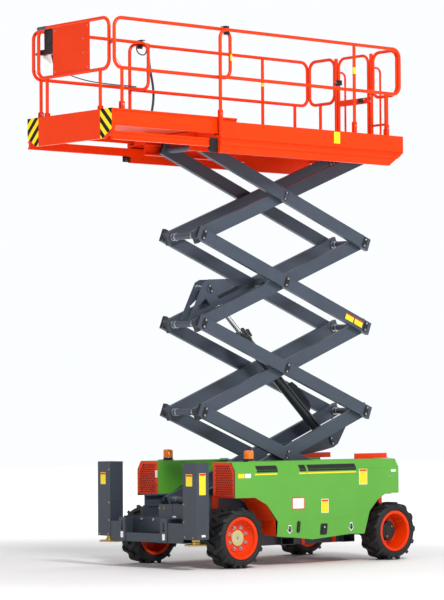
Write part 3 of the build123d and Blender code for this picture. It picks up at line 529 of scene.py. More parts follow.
hub_face = 0.048            # front hubs' nut faces, from the tyre's middle
nut_ring_front, nut_ring_rear = 0.122, 0.134
valve_ring = 0.172
for end, axle in (("front", axle_front), ("rear", axle_rear)):
    for name, side in sides:
        body = f"wheel_{end}_{name}"
        centre = (axle, side * wheel_y, axle_z)
        if end == "front":
            wheel_nuts(f"wheel_nuts_{end}_{name}", axle, side, wheel_y + hub_face, nut_ring_front, 8,
                       0.0145, body)
            cap = Piece(f"hub_cap_{end}_{name}", cream_enamel, body)
            cap.turned([(0.086, 0.049), (0.086, 0.058), (0.082, 0.062), (0.064, 0.064), (0.060, 0.0655),
                        (0.030, 0.0655), (0.028, 0.0635), (0.020, 0.0635)], centre, Y * side, 40)
            cap.done()
            ring = Piece(f"rim_step_{name}", orange_coat, body, crease=25)
            ring.turned([(0.141, 0.0475), (0.143, 0.051), (0.147, 0.0525), (0.151, 0.051), (0.152, 0.0475)],
                        centre, Y * side, 64)
            ring.done()
            screws = Piece(f"hub_screws_{end}_{name}", zinc_plate, body)
            screws.bolt(Vector(centre) + Y * side * 0.0632, Y * side, 0.012, 0.012)
            for i in range(4):
                turn = math.pi / 2 * i
                spot = (axle + 0.044 * math.cos(turn), side * wheel_y, axle_z + 0.044 * math.sin(turn))
                screws.turned([(0.005, 0.065), (0.005, 0.068), (0.0035, 0.069)], spot, Y * side, 12)
            screws.done()
        else:
            # deep-dished wheel: the disc stands behind the middle and the drive drum fills the dish
            disc, half, rim_r, lip = -0.062, 0.128, 0.205, 0.231
            dish = Piece(f"deep_rim_{name}", orange_coat, body, crease=25)
            dish.turned([(0.0, disc), (0.152, disc), (0.181, disc + 0.010), (0.197, disc + 0.030),
                         (0.197, 0.005 - half), (lip - 0.009, -half), (lip, -half), (lip, 0.010 - half),
                         (rim_r, 0.010 - half), (rim_r, half - 0.010), (lip, half - 0.010), (lip, half),
                         (lip - 0.009, half), (0.197, half - 0.005), (0.191, half - 0.038),
                         (0.168, disc + 0.022), (0.152, disc + 0.014), (0.0, disc + 0.014)],
                        centre, Y * side, 64)
            dish.done([f"rim_rear_{name}"])
            drum = Piece(f"drive_drum_{name}", black_coat, body)
            drum.turned([(0.0, disc + 0.014), (0.112, disc + 0.014), (0.112, disc + 0.030),
                         (0.100, disc + 0.034), (0.100, 0.006), (0.104, 0.008), (0.104, 0.020),
                         (0.098, 0.026), (0.060, 0.028), (0.056, 0.034), (0.0, 0.034)],
                        centre, Y * side, 48)
            drum.done([f"hub_rear_{name}"])
            wheel_nuts(f"wheel_nuts_{end}_{name}", axle, side, wheel_y + disc + 0.014, nut_ring_rear,
                       10, 0.0115, body)
            plugs = Piece(f"drum_plugs_{name}", gold_zinc, body)
            plugs.bolt((axle + 0.03, side * (wheel_y + 0.028), axle_z - 0.06), Y * side, 0.010, 0.010)
            plugs.bolt((axle - 0.045, side * (wheel_y + 0.028), axle_z + 0.045), Y * side, 0.008, 0.008)
            plugs.done()
        valve = Piece(f"valve_{end}_{name}", gold_zinc, body)
        turn = math.radians(40)
        face = wheel_y + (0.060 if end == "front" else 0.045)
        foot = (axle - side * valve_ring * math.cos(turn), side * face, axle_z + valve_ring * math.sin(turn))
        valve.turned([(0.007, 0), (0.007, 0.012), (0.0045, 0.014), (0.0045, 0.034), (0.003, 0.036)],
                     foot, Y * side, 12)
        valve.done()

# ---------- beacons: ribbed lenses on black bases
lens = Piece("beacon_lenses", amber_lens, "chassis", crease=30)
seats = Piece("beacon_bases", black_plastic, "chassis")
ribs = [(0.0535, 0.030)]
for i in range(6):
    ribs += [(0.0555, 0.034 + i * 0.013), (0.0535, 0.040 + i * 0.013)]
for side, y in ((1, 0.695), (-1, -0.672)):
    spot = at(0.920, y, 1.148)
    seats.turned([(0.062, 0), (0.062, 0.010), (0.058, 0.014), (0.052, 0.016), (0.052, 0.026), (0.057, 0.028),
                  (0.057, 0.032)], spot, Z, 48)
    lens.turned([(0.05, 0.032)] + ribs + [(0.052, 0.116), (0.044, 0.1235), (0.0, 0.1258)], spot, Z, 48)
lens.done(["beacons"])
seats.done()


# ---------- sheet metal with holes
def drilled(name, outline, holes, place, thick, material, body, replaces=()):
    """A flat sheet with round holes; place turns (across, up, out) into a point."""
    curve = bpy.data.curves.new(name, "CURVE")
    curve.dimensions, curve.fill_mode, curve.extrude = "2D", "BOTH", thick / 2
    turns = [math.pi * k / 6 for k in range(12)]
    loops = [outline] + [[(a + r * math.cos(t), b + r * math.sin(t)) for t in turns] for a, b, r in holes]
    for loop in loops:
        spline = curve.splines.new("POLY")
        spline.points.add(len(loop) - 1)
        for point, (a, b) in zip(spline.points, loop):
            point.co = (a, b, 0, 1)
        spline.use_cyclic_u = True
    holder = bpy.data.objects.new(name + "_sheet", curve)
    bpy.context.scene.collection.objects.link(holder)
    bpy.context.view_layer.update()
    data = bpy.data.meshes.new_from_object(holder)
    bpy.data.objects.remove(holder)
    bpy.data.curves.remove(curve)
    for vertex in data.vertices:
        vertex.co = place(*vertex.co)
    piece = Piece(name, material, body)
    piece.mesh.from_mesh(data)
    bpy.data.meshes.remove(data)
    bmesh.ops.remove_doubles(piece.mesh, verts=piece.mesh.verts, dist=0.00001)
    return piece.done(replaces)


# perforated red grilles at the front of both modules: 22 mm holes on a 29 mm triangle
pitch = 0.029
grille_low, grille_high = 0.782, 1.144
for name, side in sides:
    outline = [(0.471, grille_low), (0.815, grille_low), (0.815, 1.050), (0.760, grille_high),
               (0.471, grille_high)]
    holes = []
    for row in range(13):
        z = grille_low + 0.020 + row * pitch * 0.866
        for i in range(12):
            y = 0.520 + i * pitch + (pitch / 2 if row % 2 else 0)
            edge = 0.800 - max(0.0, z - 1.035) * 0.62
            if y < edge - 0.012 and z < grille_high - 0.014:
                holes.append((y, z, 0.0110))
    drilled(f"perforated_grille_{name}", outline, holes,
            lambda a, b, c, s=side: at(1.2415 + c, s * a, b), 0.003, orange_coat, "chassis",
            ["front_grilles"] if side == 1 else ())

# ---------- module details
# black sheets behind the grilles: painted shade, so the openings read dark as if deep
hole_shade = Piece("grille_painted_shade", black_plastic, "chassis")
for side in (1, -1):
    hole_shade.plate([(-0.168, -0.17), (0.150, -0.17), (0.150, 0.095), (0.102, 0.17), (-0.168, 0.17)][::side],
               at(1.218, side * 0.645, 0.965), Y * side, Z, 0.006)
hole_shade.done()
edging = Piece("cover_edge_seals", cable_rubber, "chassis")
for side in (1, -1):
    edging.hose([at(1.2355, side * y, z) for y, z in ((0.8185, 0.786), (0.8185, 1.048), (0.8155, 1.056),
                                                      (0.764, 1.1385), (0.755, 1.1435))], 0.0055, 8)
edging.done()

# blank films, trim and fittings of the side covers; x from and x to, from the middle of the wheelbase
stripes = [(0.614, 0.924), (0.190, 0.289), (-0.579, 0.161)]
underlines = [(0.623, 0.951), (0.183, 0.296), (-0.575, 0.172)]
warnings = [(-0.748, -0.627, 0.869, 1.041), (-0.145, -0.040, 0.569, 0.716)]
arrow = [(0.0, -0.052), (0.046, -0.006), (0.020, -0.006), (0.020, 0.046), (-0.020, 0.046), (-0.020, -0.006),
         (-0.046, -0.006)]
slope_run = Vector((0, -0.060, 0.093)).normalized()
fold_z = 1.0555             # where the upright face folds over to the sloping one
lean = 0.12                 # the handles' lean, across for each unit up
grip_x = -0.070
for name, side in sides:
    body = f"cover_{name}"
    along = -X * side
    films = {kind: Piece(f"{kind}_films_{name}", material, body) for kind, material in
             (("black", black_vinyl), ("yellow", yellow_vinyl), ("white", white_vinyl), ("red", red_vinyl))}

    def sticker(kind, x0, x1, z0, z1, radius=0.004, layer=0):
        """A film on the cover's upright face; layer counts the films beneath it."""
        films[kind].film(rounded(x1 - x0, z1 - z0, radius, 3),
                         at((x0 + x1) / 2, side * (face_y + film_gap + film_thick * layer), (z0 + z1) / 2),
                         along)

    for x0, x1 in stripes:
        sticker("black", x0, x1, 1.031, 1.0545)
        # the same film carries on over the fold onto the sloping face
        up = Vector((0, side * slope_run.y, slope_run.z))
        films["black"].plate(rounded(x1 - x0, 0.056, 0.004, 3), at((x0 + x1) / 2, side * face_y, fold_z)
                             + up * 0.029 + along.cross(up) * 0.0003, along, up, film_thick)
    for x0, x1 in underlines:
        sticker("yellow", x0, x1, 1.003, 1.019, 0.002)
    for x0, x1, z0, z1 in warnings:
        sticker("yellow", x0, x1, z0, z1, 0.004)
        sticker("white", x0 - 0.004, x1 + 0.004, z0 - 0.004, z1 + 0.004, 0.006, -0.25)
        sticker("red", x0 + 0.004, x1 - 0.004, z1 - 0.024, z1 - 0.006, 0.003, 1)
    sticker("white", -1.206, -1.129, 0.998, 1.027)
    sticker("yellow", 1.105, 1.195, 0.975, 1.022)
    sticker("white", 1.010, 1.096, 0.975, 1.022)
    # plain white plate with a red rim
    sticker("red", 0.215, 0.407, 0.612, 0.750, 0.020)
    sticker("white", 0.227, 0.395, 0.624, 0.738, 0.012, 1)
    # down arrows over the tie-down points
    for x in (0.4415, -0.495):
        for kind, size, layer in (("white", 1.0, 0), ("black", 0.74, 1)):
            films[kind].film([(a * size, b * size) for a, b in arrow],
                             at(x, side * (face_y + film_gap + film_thick * layer), 0.400), along)
    for piece in films.values():
        piece.done()
    grip = Piece(f"cover_handle_{name}", black_plastic, body)
    for x, y, z, wide, tall, radius, depth, chamfer in (
            (0.3155, face_y, 0.422, 0.040, 0.128, 0.0199, 0.016, 0.006),
            (grip_x, face_y, 0.386, 0.104, 0.124, 0.018, 0.007, 0.003),
            (grip_x, face_y + 0.007, 0.380, 0.060, 0.080, 0.014, 0.010, 0.004)):
        grip.plate([(a + lean * b, b) for a, b in rounded(wide, tall, radius, 6)], at(x, side * y, z),
                   along, Z, depth, chamfer)
    grip.done()
    lock = Piece(f"cover_lock_{name}", zinc_plate, body)
    lock.turned([(0.010, 0.007), (0.010, 0.020), (0.008, 0.0215), (0.0, 0.0215)],
                at(grip_x, side * face_y, 0.408), Y * side, 24)
    lock.bolt(at(-1.108, side * face_y, 0.954), Y * side, 0.007, 0.006)
    lock.done()
    trim = Piece(f"cover_trim_{name}", green_coat, body)
    # pressed swage low on the cover, and a seam under its rear top edge
    for wide, tall, radius, x, z in ((0.92, 0.010, 0.0049, -0.02, 0.508),
                                     (0.47, 0.008, 0.0039, -0.86, 1.046)):
        trim.plate(rounded(wide, tall, radius, 4), at(x, side * (face_y - 0.001), z), along, Z,
                   0.003, 0.0015)
    trim.done()

# red posts with their bolts at the rear of both modules
post = Piece("rear_bracket_posts", orange_coat, "chassis")
heads = Piece("rear_bracket_bolts", zinc_plate, "chassis")
for side in (1, -1):
    post.plate(rounded(0.060, 0.200, 0.006, 3), at(-1.205, side * 0.520, 0.662), Y, Z, 0.006)
    post.plate(rounded(0.120, 0.060, 0.006, 3), at(-1.205, side * 0.520, 0.750), Y, Z, 0.0065)
    heads.bolt(at(-1.1985, side * 0.545, 0.752), X, 0.007, 0.006)
    heads.bolt(at(-1.1985, side * 0.495, 0.752), X, 0.007, 0.006)
post.done()
heads.done()

# ---------- front bumper and jacks
front_x = 1.805             # front faces of the jack boxes, from the middle of the wheelbase
box_y = 0.837               # their outer faces
jack_films = {kind: Piece(f"jack_{kind}_films", material, "chassis", slot="cream paint")
              for kind, material in (("yellow", yellow_vinyl), ("white", white_vinyl), ("red", red_vinyl))}


def jack_label(kind, face, a0, a1, z0, z1, layer=0):
    """A film on a jack box: on its front face, across Y, or on its outer face, along X."""
    gap = film_gap + film_thick * layer
    middle, z = (a0 + a1) / 2, (z0 + z1) / 2
    spot, across = (at(front_x + gap, middle, z), Y) if face == "front" else (at(middle, box_y + gap, z), -X)
    jack_films[kind].film(rounded(a1 - a0, z1 - z0, 0.004, 3), spot, across)


for face, a0, a1, z0, z1 in (("front", -0.787, -0.700, 0.900, 1.032), ("front", 0.672, 0.776, 0.901, 1.030),
                             ("side", 1.668, 1.7595, 0.808, 1.041)):
    jack_label("yellow", face, a0, a1, z0, z1)
    jack_label("red", face, a0 + 0.004, a1 - 0.004, z1 - 0.026, z1 - 0.005, 1)
jack_label("white", "side", 1.672, 1.730, 0.358, 0.382)
for wide, tall, radius, spot in ((0.060, 0.020, 0.004, (1.6042, 0.242, 0.556)),
                                 (0.046, 0.068, 0.010, (1.8082, -0.4135, 0.355)),
                                 (0.046, 0.068, 0.010, (1.8082, 0.2985, 0.345)),
                                 (0.040, 0.080, 0.004, (1.2432, -0.496, 1.005))):
    jack_films["white"].film(rounded(wide, tall, radius, 3), at(*spot), Y)
for piece in jack_films.values():
    piece.done()
jack_bolts = Piece("jack_box_bolts", gold_zinc, "chassis")
for x, y, z in ((front_x, -0.637, 1.064), (front_x, -0.637, 0.700), (front_x, -0.637, 0.506),
                (front_x, -0.800, 0.352), (front_x, -0.656, 0.352), (front_x, 0.637, 0.708),
                (front_x, 0.637, 0.515), (front_x, 0.655, 0.358), (front_x, 0.790, 0.355),
                (1.604, -0.007, 0.648), (1.604, 0.070, 0.648)):
    jack_bolts.bolt(at(x, y, z), X, 0.0085, 0.008)
jack_bolts.done()
caps = Piece("jack_box_caps", dark_coat, "chassis")
for side in (1, -1):
    caps.plate(rounded(0.166, 0.202, 0.012, 4), at(jack_x, side * jack_y, 1.147), X, Y, 0.004, 0.003)
    # access panel on the inner face
    caps.plate(rounded(0.120, 0.300, 0.008, 3), at(jack_x, side * 0.619, 0.86), X * side, Z, 0.003, 0.0015)
caps.done()
bosses = Piece("bumper_bosses", zinc_plate, "chassis")
for y in (-0.302, -0.092):
    bosses.turned([(0.016, 0), (0.016, 0.014), (0.012, 0.018), (0.006, 0.018), (0.006, 0.010)],
                  at(1.612, y, 0.520), X, 24)
bosses.done()
cheek = Piece("bumper_cheek_plate", dark_coat, "chassis")
cheek.plate(rounded(0.237, 0.142, 0.010, 3), at(1.5980, 0.0915, 0.621), Y, Z, 0.006, 0.0015)
cheek.done()
# black films where the bumper's slots are: painted shade standing in for the dark inside the slots
slot_shade = Piece("bumper_slot_painted_shade", black_coat, "chassis")
for y in (-0.410, 0.294):
    slot_shade.plate(rounded(0.022, 0.090, 0.0109, 6), at(1.8078, y, 0.470), Y, Z, 0.0008)
slot_shade.done()
for name, side in sides:
    body = f"jack_{name}"
    leg = Piece(f"jack_leg_{name}", dark_coat, body)
    leg.plate(rounded(0.120, 0.120, 0.010, 4), at(jack_x, side * jack_y, 0.340), X, Y, 0.731, 0.004)
    leg.done([f"jack_{name}"])
    spot = at(jack_x, side * jack_y, 0)
    foot = Piece(f"jack_foot_{name}", gold_zinc, body)
    foot.turned([(0.0, 0.262), (0.120, 0.262), (0.125, 0.266), (0.125, 0.276), (0.121, 0.280),
                 (0.052, 0.281), (0.050, 0.300), (0.036, 0.304), (0.032, 0.306), (0.032, 0.340)],
                spot, Z, 64)
    foot.turned([(0.047, 0.306), (0.047, 0.326), (0.041, 0.330)], spot, Z, 6)
    foot.done()

# fork pocket mouths: a lighter rolled rim round each
rims = Piece("fork_pocket_rims", slate_coat, "chassis")
for x0, x1 in ((-0.910, -0.725), (0.026, 0.222)):
    for side in (1, -1):
        for a0, a1, z0, z1 in ((x0, x1, 0.205, 0.213), (x0, x1, 0.282, 0.290),
                               (x0, x0 + 0.008, 0.213, 0.282), (x1 - 0.008, x1, 0.213, 0.282)):
            rims.plate(rounded(a1 - a0, z1 - z0, 0.003, 2), at((a0 + a1) / 2, side * 0.450, (z0 + z1) / 2),
                       -X * side, Z, 0.003, 0.001)
rims.done()

# ---------- platform
marks = Piece("platform_yellow_films", yellow_vinyl, "platform")
marks.film(rounded(0.094, 0.130, 0.004, 3), at(-0.350, 0.8002, 4.768), -X)
for y, tall in ((rail_y, 0.076), (-rail_y, 0.040)):
    marks.turned([(0.0192, 0), (0.0198, 0.0003), (0.0198, tall - 0.0003), (0.0192, tall)],
                 at(-0.650, y, 5.513), Z, 32)
marks.done()
sockets = Piece("rail_post_sockets", orange_coat, "platform")
socket_bolts = Piece("rail_post_bolts", zinc_plate, "platform")
for side in (1, -1):
    for x in (-1.165, -0.650, 1.370):
        for off in plate_offs:
            sockets.plate(rounded(0.044, 0.125, 0.010, 4), at(x, side * rail_y + off, 4.908),
                          X, Z, 0.003, 0.001)
        socket_bolts.bolt(at(x, side * rail_y + 0.0205, 4.925), Y, 0.007, 0.007)
        socket_bolts.turned([(0.006, 0), (0.006, 0.006)], at(x, side * rail_y - 0.0235, 4.925), -Y, 6)
for y in (-0.55, 0.55):
    for off in plate_offs:
        sockets.plate(rounded(0.044, 0.100, 0.010, 4), at(rear_rail_x - off, y, 4.900), -Y, Z,
                      0.003, 0.001)
    socket_bolts.bolt(at(rear_rail_x + 0.0205, y, 4.915), X, 0.007, 0.007)
sockets.done()
socket_bolts.done()
# sunk heads, all but flush with the deck's rear corners
end_bolts = Piece("deck_corner_bolts", zinc_plate, "platform")
for side in (1, -1):
    for y, z in ((0.700, 4.700), (0.700, 4.648), (0.480, 4.650)):
        end_bolts.bolt(at(-1.3998, side * y, z), -X, 0.008, 0.0001)
end_bolts.done()
hooks = Piece("gate_hinge_bolts", zinc_plate, "platform")
for z in (4.890, 5.560):
    hooks.bolt(at(-1.346, -0.245, z), X, 0.007, 0.007)
    hooks.bolt(at(-1.346, -0.268, z + 0.012), X, 0.005, 0.005)
for z in (5.290, 5.355):
    hooks.bolt(at(-1.350, 0.315, z), X, 0.008, 0.007)
hooks.done()
latch = Piece("gate_latch", black_plastic, "gate")
latch.plate(rounded(0.070, 0.050, 0.008, 4), at(-1.360, 0.155, 5.315), Y, Z, 0.022, 0.005)
latch.done()
knob = Piece("gate_latch_knob", zinc_plate, "gate")
knob.turned([(0.006, 0), (0.006, 0.014), (0.012, 0.016), (0.012, 0.026), (0.008, 0.030), (0.0, 0.030)],
            at(-1.360, 0.222, 5.318), X, 24)
knob.done()


def treads(name, x0, x1, half_y, z, body):
    """Raised lozenges of the anti-slip chequer plate, 62 mm apart and laid crosswise in turn."""
    plate = Piece(name, orange_coat, body)
    step = 0.062
    for i in range(int((x1 - x0) / step)):
        for j in range(int(2 * half_y / step)):
            turn = math.radians(45 if (i + j) % 2 else -45)
            a = Vector((math.cos(turn), math.sin(turn), 0))
            b = Z.cross(a)
            centre = at(x0 + (i + 0.5) * step, -half_y + (j + 0.5) * step, z)
            low = [plate.mesh.verts.new(centre + a * u + b * v) for u, v in
                   ((0.020, 0), (0, 0.006), (-0.020, 0), (0, -0.006))]
            high = [plate.mesh.verts.new(centre + a * u + b * v + Z * 0.0018) for u, v in
                    ((0.014, 0), (0, 0.003), (-0.014, 0), (0, -0.003))]
            for k in range(4):
                plate.mesh.faces.new((low[k], low[(k + 1) % 4], high[(k + 1) % 4], high[k]))
            plate.mesh.faces.new(high)
    plate.done()


treads("main_deck_treads", -1.33, 1.36, 0.665, deck_z, "platform")
treads("roll_out_deck_treads", 1.42, 2.78, loop_y, roll_out_z, "deck_extension")

# ---------- roll-out deck
sleeve = Piece("front_rail_sleeve", slate_coat, "deck_extension")
sleeve.turned([(0.0192, 0), (0.0212, 0.002), (0.0212, 0.152), (0.0192, 0.154)],
              at(front_rail_x, -0.616, 5.874), Y, 32)
for side, across, up in ((1, X, Z), (-1, Z, X)):
    sleeve.plate(rounded(0.028, 0.032, 0.004, 3), at(front_rail_x, side * 0.6395, 5.601), across, up,
                 0.028, 0.003)
sleeve.done()
panel_bolts = Piece("sign_plate_bolts", zinc_plate, "deck_extension")
for y, z in ((0.171, 5.690), (0.172, 5.538), (0.245, 5.825), (-0.318, 5.825), (0.245, 5.378),
             (-0.318, 5.378)):
    panel_bolts.bolt(at(2.787, y, z), X, 0.006, 0.005)
panel_bolts.done()
feet = Piece("roll_out_post_sockets", orange_coat, "deck_extension")
foot_bolts = Piece("roll_out_post_bolts", zinc_plate, "deck_extension")
for side in (1, -1):
    for off in plate_offs:
        feet.plate(rounded(0.050, 0.170, 0.012, 4), at(2.685, side * loop_y + off, 4.895), X, Z,
                   0.003, 0.001)
    foot_bolts.bolt(at(2.685, side * loop_y + 0.0205, 4.945), Y, 0.008, 0.007)
for y in (-0.46, 0.46):
    for off in plate_offs:
        feet.plate(rounded(0.050, 0.150, 0.012, 4), at(front_rail_x - off, y, 4.870), -Y, Z, 0.003, 0.001)
    foot_bolts.bolt(at(front_rail_x - 0.020, y, 4.915), -X, 0.008, 0.007)
feet.done()
foot_bolts.done()
stays = Piece("rail_corner_stays", orange_coat, "deck_extension")
stays.hose([at(front_rail_x, -0.613, 5.432), at(front_rail_x, -0.556, 5.345)], 0.003, 8)
for side in (1, -1):
    stays.hose([at(2.790, side * loop_y, 5.455), at(2.690, side * loop_y, 5.350)], 0.003, 8)
stays.done()
tags = Piece("roll_out_rail_tags", yellow_vinyl, "deck_extension")
for side in (1, -1):
    tags.plate(rounded(0.024, 0.070, 0.004, 3), at(1.160, side * 0.7185, 5.560), -X * side, Z,
               0.002, 0.0005)
tags.done()

# control box: upright box, tray, hanger, stick and stop button
box_x = 2.650
stick_foot, stick_way = at(box_x + 0.024, -0.400, 5.658), (-0.18, 0, 1)
stop_foot, panel_way = at(box_x + 0.026, -0.500, 5.676), (-0.25, 0, 1)
console = Piece("control_console", black_plastic, "deck_extension")
# outline (forwards, up) of the box seen from its side, drawn across Y
box_outline = [(0.000, 0.012), (0.012, 0.0), (0.088, 0.0), (0.098, 0.010), (0.098, 0.238), (0.090, 0.249),
               (0.074, 0.249), (0.066, 0.240), (0.058, 0.118), (0.046, 0.104), (0.006, 0.088), (0.0, 0.080)]
console.plate(box_outline, at(box_x, -0.330, 5.590), X, Z, 0.230, 0.004)
# tray that carries on past the box's outer end
tray_outline = [(0.0, 0.0), (0.090, 0.0), (0.096, 0.006), (0.096, 0.052), (0.090, 0.058), (0.006, 0.058),
                (0.0, 0.052)]
console.plate(tray_outline, at(box_x, -0.560, 5.592), X, Z, 0.085, 0.004)
console.plate(rounded(0.080, 0.180, 0.006, 3), at(2.7458, -0.440, 5.790), Y, Z, 0.0197, 0.003)
# flat hanger up behind the top rail
console.plate([(0.0, 0.0), (0.012, 0.0), (0.012, 0.150), (0.0, 0.150)], at(2.735, -0.470, 5.715),
              X, Z, 0.090, 0.001)
# folded boot under the stick
for i in range(5):
    low, narrow = 0.020 + i * 0.006, i * 0.003
    console.turned([(0.024 - narrow, low), (0.027 - narrow, low + 0.003), (0.022 - narrow, low + 0.006)],
                   stick_foot, stick_way, 24)
console.turned([(0.007, 0.045), (0.007, 0.085), (0.015, 0.090), (0.017, 0.105), (0.014, 0.130),
                (0.007, 0.136), (0.0, 0.136)], stick_foot, stick_way, 24)
console.done(["control_box"])
# pale panel under the box
pan = Piece("control_console_pan", white_vinyl, "deck_extension")
pan.plate([(-0.105, -0.036), (0.105, -0.036), (0.105, 0.036), (-0.105, 0.036)],
          at(box_x + 0.046, -0.450, 5.5898), Y, X, 0.0012)
# pale flap that slopes away under the box's outer end
pan.plate([(-0.0795, 0.0), (0.0795, -0.098), (0.0795, 0.0)], at(2.700, -0.5775, 5.5855), Y, Z, 0.002)
pan.done()
stop = Piece("stop_button", red_vinyl, "deck_extension")
stop.turned([(0.010, 0), (0.010, 0.010), (0.019, 0.013), (0.020, 0.020), (0.016, 0.026), (0.0, 0.028)],
            stop_foot, panel_way, 28)
stop.done()
ring = Piece("stop_button_plate", yellow_vinyl, "deck_extension")
ring.turned([(0.028, -0.002), (0.028, 0.002), (0.009, 0.003)], stop_foot, panel_way, 28)
ring.done()
switches = Piece("control_switches", zinc_plate, "deck_extension")
for y, tilt in ((-0.350, -0.1), (-0.375, 0.1), (-0.435, -0.1), (-0.455, 0.1)):
    switches.turned([(0.006, 0), (0.006, 0.005), (0.003, 0.007), (0.0024, 0.022), (0.0036, 0.024),
                     (0.0, 0.026)], at(box_x + 0.030, y, 5.684), (-0.25, tilt, 1), 16)
switches.done()


# ---------- cords and hoses
def cord(name, points, diameter, body, node, length, far_end="object", **facts):
    """A hose on one smooth line; points are x from the middle of the wheelbase, y and z, in millimetres."""
    curve = bpy.data.curves.new(name, "CURVE")
    curve.dimensions = "3D"
    curve.bevel_depth = diameter / 2
    curve.bevel_resolution = 4
    curve.use_fill_caps = True
    spline = curve.splines.new("NURBS")
    spline.points.add(len(points) - 1)
    placed = [(base_x + x * mm, y * mm, z * mm) for x, y, z in points]
    for point, spot in zip(spline.points, placed):
        point.co = (*spot, 1)
    spline.order_u = 3
    spline.use_endpoint_u = True
    spline.resolution_u = 12
    curve.materials.append(cable_rubber)
    made = bpy.data.objects.new(name, curve)
    bpy.context.scene.collection.objects.link(made)
    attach(made, body)
    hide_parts(node)


cord("control_lead", [
    (2700, -480, 5589.7), (2699, -480, 5520), (2610, -552, 5468), (2460, -606, 5434), (2310, -640, 5402),
    (2150, -658, 5377), (1990, -663, 5361), (1830, -665, 5357), (1670, -663, 5353), (1510, -665, 5356),
    (1370, -663, 5353),
], 0.012, "deck_extension", "control_cable", 1.44)
cord("hose_run", [
    (1066, -808.2, 5880), (1064, -808.2, 5825), (1058, -817, 5725), (1030, -818, 5560), (990, -819, 5400),
    (985, -818, 5240), (1020, -819, 5080), (1042, -815.5, 4935), (1042, -814.3, 4800),
], 0.028, "platform", "hose_bundle", 1.09)
cord("hose_bight", [
    (1250, -801.2, 5885), (1249, -801.2, 5835), (1232, -812, 5772), (1171, -813, 5742), (1105, -812, 5752),
    (1096, -801.2, 5830), (1094, -801.2, 5885),
], 0.014, "platform", "hose_loop", 0.37)

plug = Piece("charging_plug", blue_plastic, "chassis")
spot = at(1.370, -0.431, 0)
plug.turned([(0.0, 0.600), (0.026, 0.600), (0.028, 0.603), (0.028, 0.646), (0.0235, 0.650), (0.0235, 0.656),
             (0.0265, 0.658), (0.0265, 0.662), (0.0235, 0.664), (0.0235, 0.668), (0.0265, 0.670),
             (0.0265, 0.674), (0.0235, 0.676), (0.020, 0.684), (0.012, 0.6935), (0.0, 0.694)], spot, Z, 32)
plug = plug.done(["charge_plug"])
gland_nut = Piece("charging_plug_gland", black_plastic, "chassis")
gland_nut.turned([(0.012, 0.692), (0.012, 0.700), (0.009, 0.704), (0.007, 0.716), (0.0055, 0.722)],
                 spot, Z, 24)
gland_nut = gland_nut.done()
cord("charging_lead", [
    (1243.3, -490, 885), (1290, -489, 884), (1335, -470, 850), (1358, -445, 800), (1369.5, -431.5, 750),
    (1370, -431, 694.3),
], 0.010, "chassis", "charge_cable", 0.27, "plug", with_pieces=[plug, gland_nut])
glands = Piece("hose_ferrules", black_plastic, "platform")
glands.turned([(0.0145, 0), (0.0175, 0.002), (0.0175, 0.040), (0.0145, 0.046)],
              at(1.042, -0.8143, 4.802), Z, 24)
glands.done()
exit_boot = Piece("control_lead_boot", black_plastic, "deck_extension")
exit_boot.turned([(0.013, 0), (0.012, 0.008), (0.0085, 0.030), (0.0072, 0.040)],
                 at(2.700, -0.480, 5.5898), -Z, 20)
exit_boot.done()

# ---------- tread plates of the rear steps
steps = ((-1.4498, -1.3298, 0.440, (0.3, 0.7)), (-1.4478, -1.3398, 0.710, (0.3, 0.7)),
         (-1.4078, -1.3398, 0.980, (0.5,)))
for i, (x0, x1, z, rows) in enumerate(steps):
    deep, middle = x1 - x0, (x0 + x1) / 2
    edge = deep / 2 - 0.004
    holes = [(k * 0.044 - 0.286, deep * row - deep / 2, 0.009) for k in range(14) for row in rows]
    drilled(f"step_tread_{i + 1}", [(-0.335, -edge), (0.335, -edge), (0.335, edge), (-0.335, edge)], holes,
            lambda a, b, c, x=middle, h=z: at(x + b, a, h + 0.0012 + c), 0.0022, zinc_plate, "chassis")

# ---------- floor, light and camera
far = 40                    # the floor's edges, from the middle
floor = bpy.data.meshes.new("studio_floor")
floor.from_pydata([(-far, -far, 0), (far, -far, 0), (far, far, 0), (-far, far, 0)], [], [(0, 1, 2, 3)])


glow_from, glow_to, glow_most = 3.0, 9.0, 0.62      # metres out, metres out, strength
world_light, world_white = 0.50, 1.02               # strength on the machine, strength seen


def paper(tree):
    """Matt white paper that glows more and more with the distance, so that it ends in the white."""
    place = add(tree, "ShaderNodeTexCoord").outputs["Object"]
    away = add(tree, "ShaderNodeVectorMath", {0: place}, operation="LENGTH").outputs["Value"]
    glow = add(tree, "ShaderNodeMapRange", {"Value": away, "From Min": glow_from, "From Max": glow_to,
                                            "To Min": 0.0, "To Max": glow_most},
               interpolation_type="SMOOTHSTEP").outputs[0]
    return {"Base Color": blotch(tree, "#F4F4F4", "#F8F8F8", 2.0), "Roughness": spread(tree, 0.7, 0.8, 1.0),
            "Emission Strength": glow}


floor.materials.append(finish("studio_floor_paper", paper, **{"Emission Color": (1, 1, 1, 1)}))
ground = bpy.data.objects.new("studio_floor", floor)
bpy.context.scene.collection.objects.link(ground)

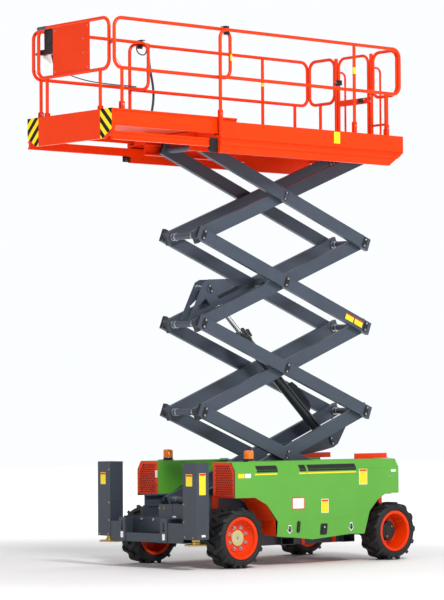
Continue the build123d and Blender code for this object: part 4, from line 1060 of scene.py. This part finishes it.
world = bpy.data.worlds.new("studio")
bpy.context.scene.world = world
world.use_nodes = True
backdrop = world.node_tree.nodes["Background"]
backdrop.inputs["Color"].default_value = (0.95, 0.97, 1.0, 1)
# white to look at, but it lights the machine with half the strength it shows
seen = add(world.node_tree, "ShaderNodeLightPath").outputs["Is Camera Ray"]
strength = add(world.node_tree, "ShaderNodeMapRange", {"Value": seen, "To Min": world_light,
                                                       "To Max": world_white}).outputs[0]
world.node_tree.links.new(strength, backdrop.inputs["Strength"])


def lamp(name, place, aim, size, power):
    """A square lamp of that size in metres, turned towards its aim; power in watts."""
    light = bpy.data.lights.new(name, "AREA")
    light.shape, light.size, light.energy = "SQUARE", size, power
    made = bpy.data.objects.new(name, light)
    made.location = place
    made.rotation_euler = (Vector(aim) - Vector(place)).to_track_quat("-Z", "Y").to_euler()
    bpy.context.scene.collection.objects.link(made)


lamp("key_light", (3, 13, 13), (0, 0, 2.5), 4, 1900)
lamp("fill_light", (13, 2, 5), (0, 0, 3), 7, 250)
lamp("back_light", (-11, -3, 9), (0, 0, 3), 6, 400)

# the camera stands 31 m off and 1.8 m up, and looks slightly upwards through a long lens
camera_away = 31.2611
aim = at(0, -0.7815, 2.9853)
focal_length = 161.9136     # millimetres, on a sensor 36 mm high
azimuth, elevation, roll = math.radians(138.7501), math.radians(-2.2423), math.radians(-0.3418)
back = Vector((math.sin(azimuth) * math.cos(elevation), -math.cos(azimuth) * math.cos(elevation),
               math.sin(elevation)))
right = (-back).cross(Z).normalized()
up = right.cross(-back)
right, up = right * math.cos(roll) + up * math.sin(roll), up * math.cos(roll) - right * math.sin(roll)
lens = bpy.data.cameras.new("camera")
lens.sensor_width = 36
lens.lens = focal_length
lens.clip_end = 200
camera = bpy.data.objects.new("camera", lens)
turn = Matrix((right, up, back)).transposed().to_4x4()
camera.matrix_world = Matrix.Translation(aim + back * camera_away) @ turn
bpy.context.scene.collection.objects.link(camera)
bpy.context.scene.camera = camera
bpy.context.scene.view_settings.view_transform = "Standard"
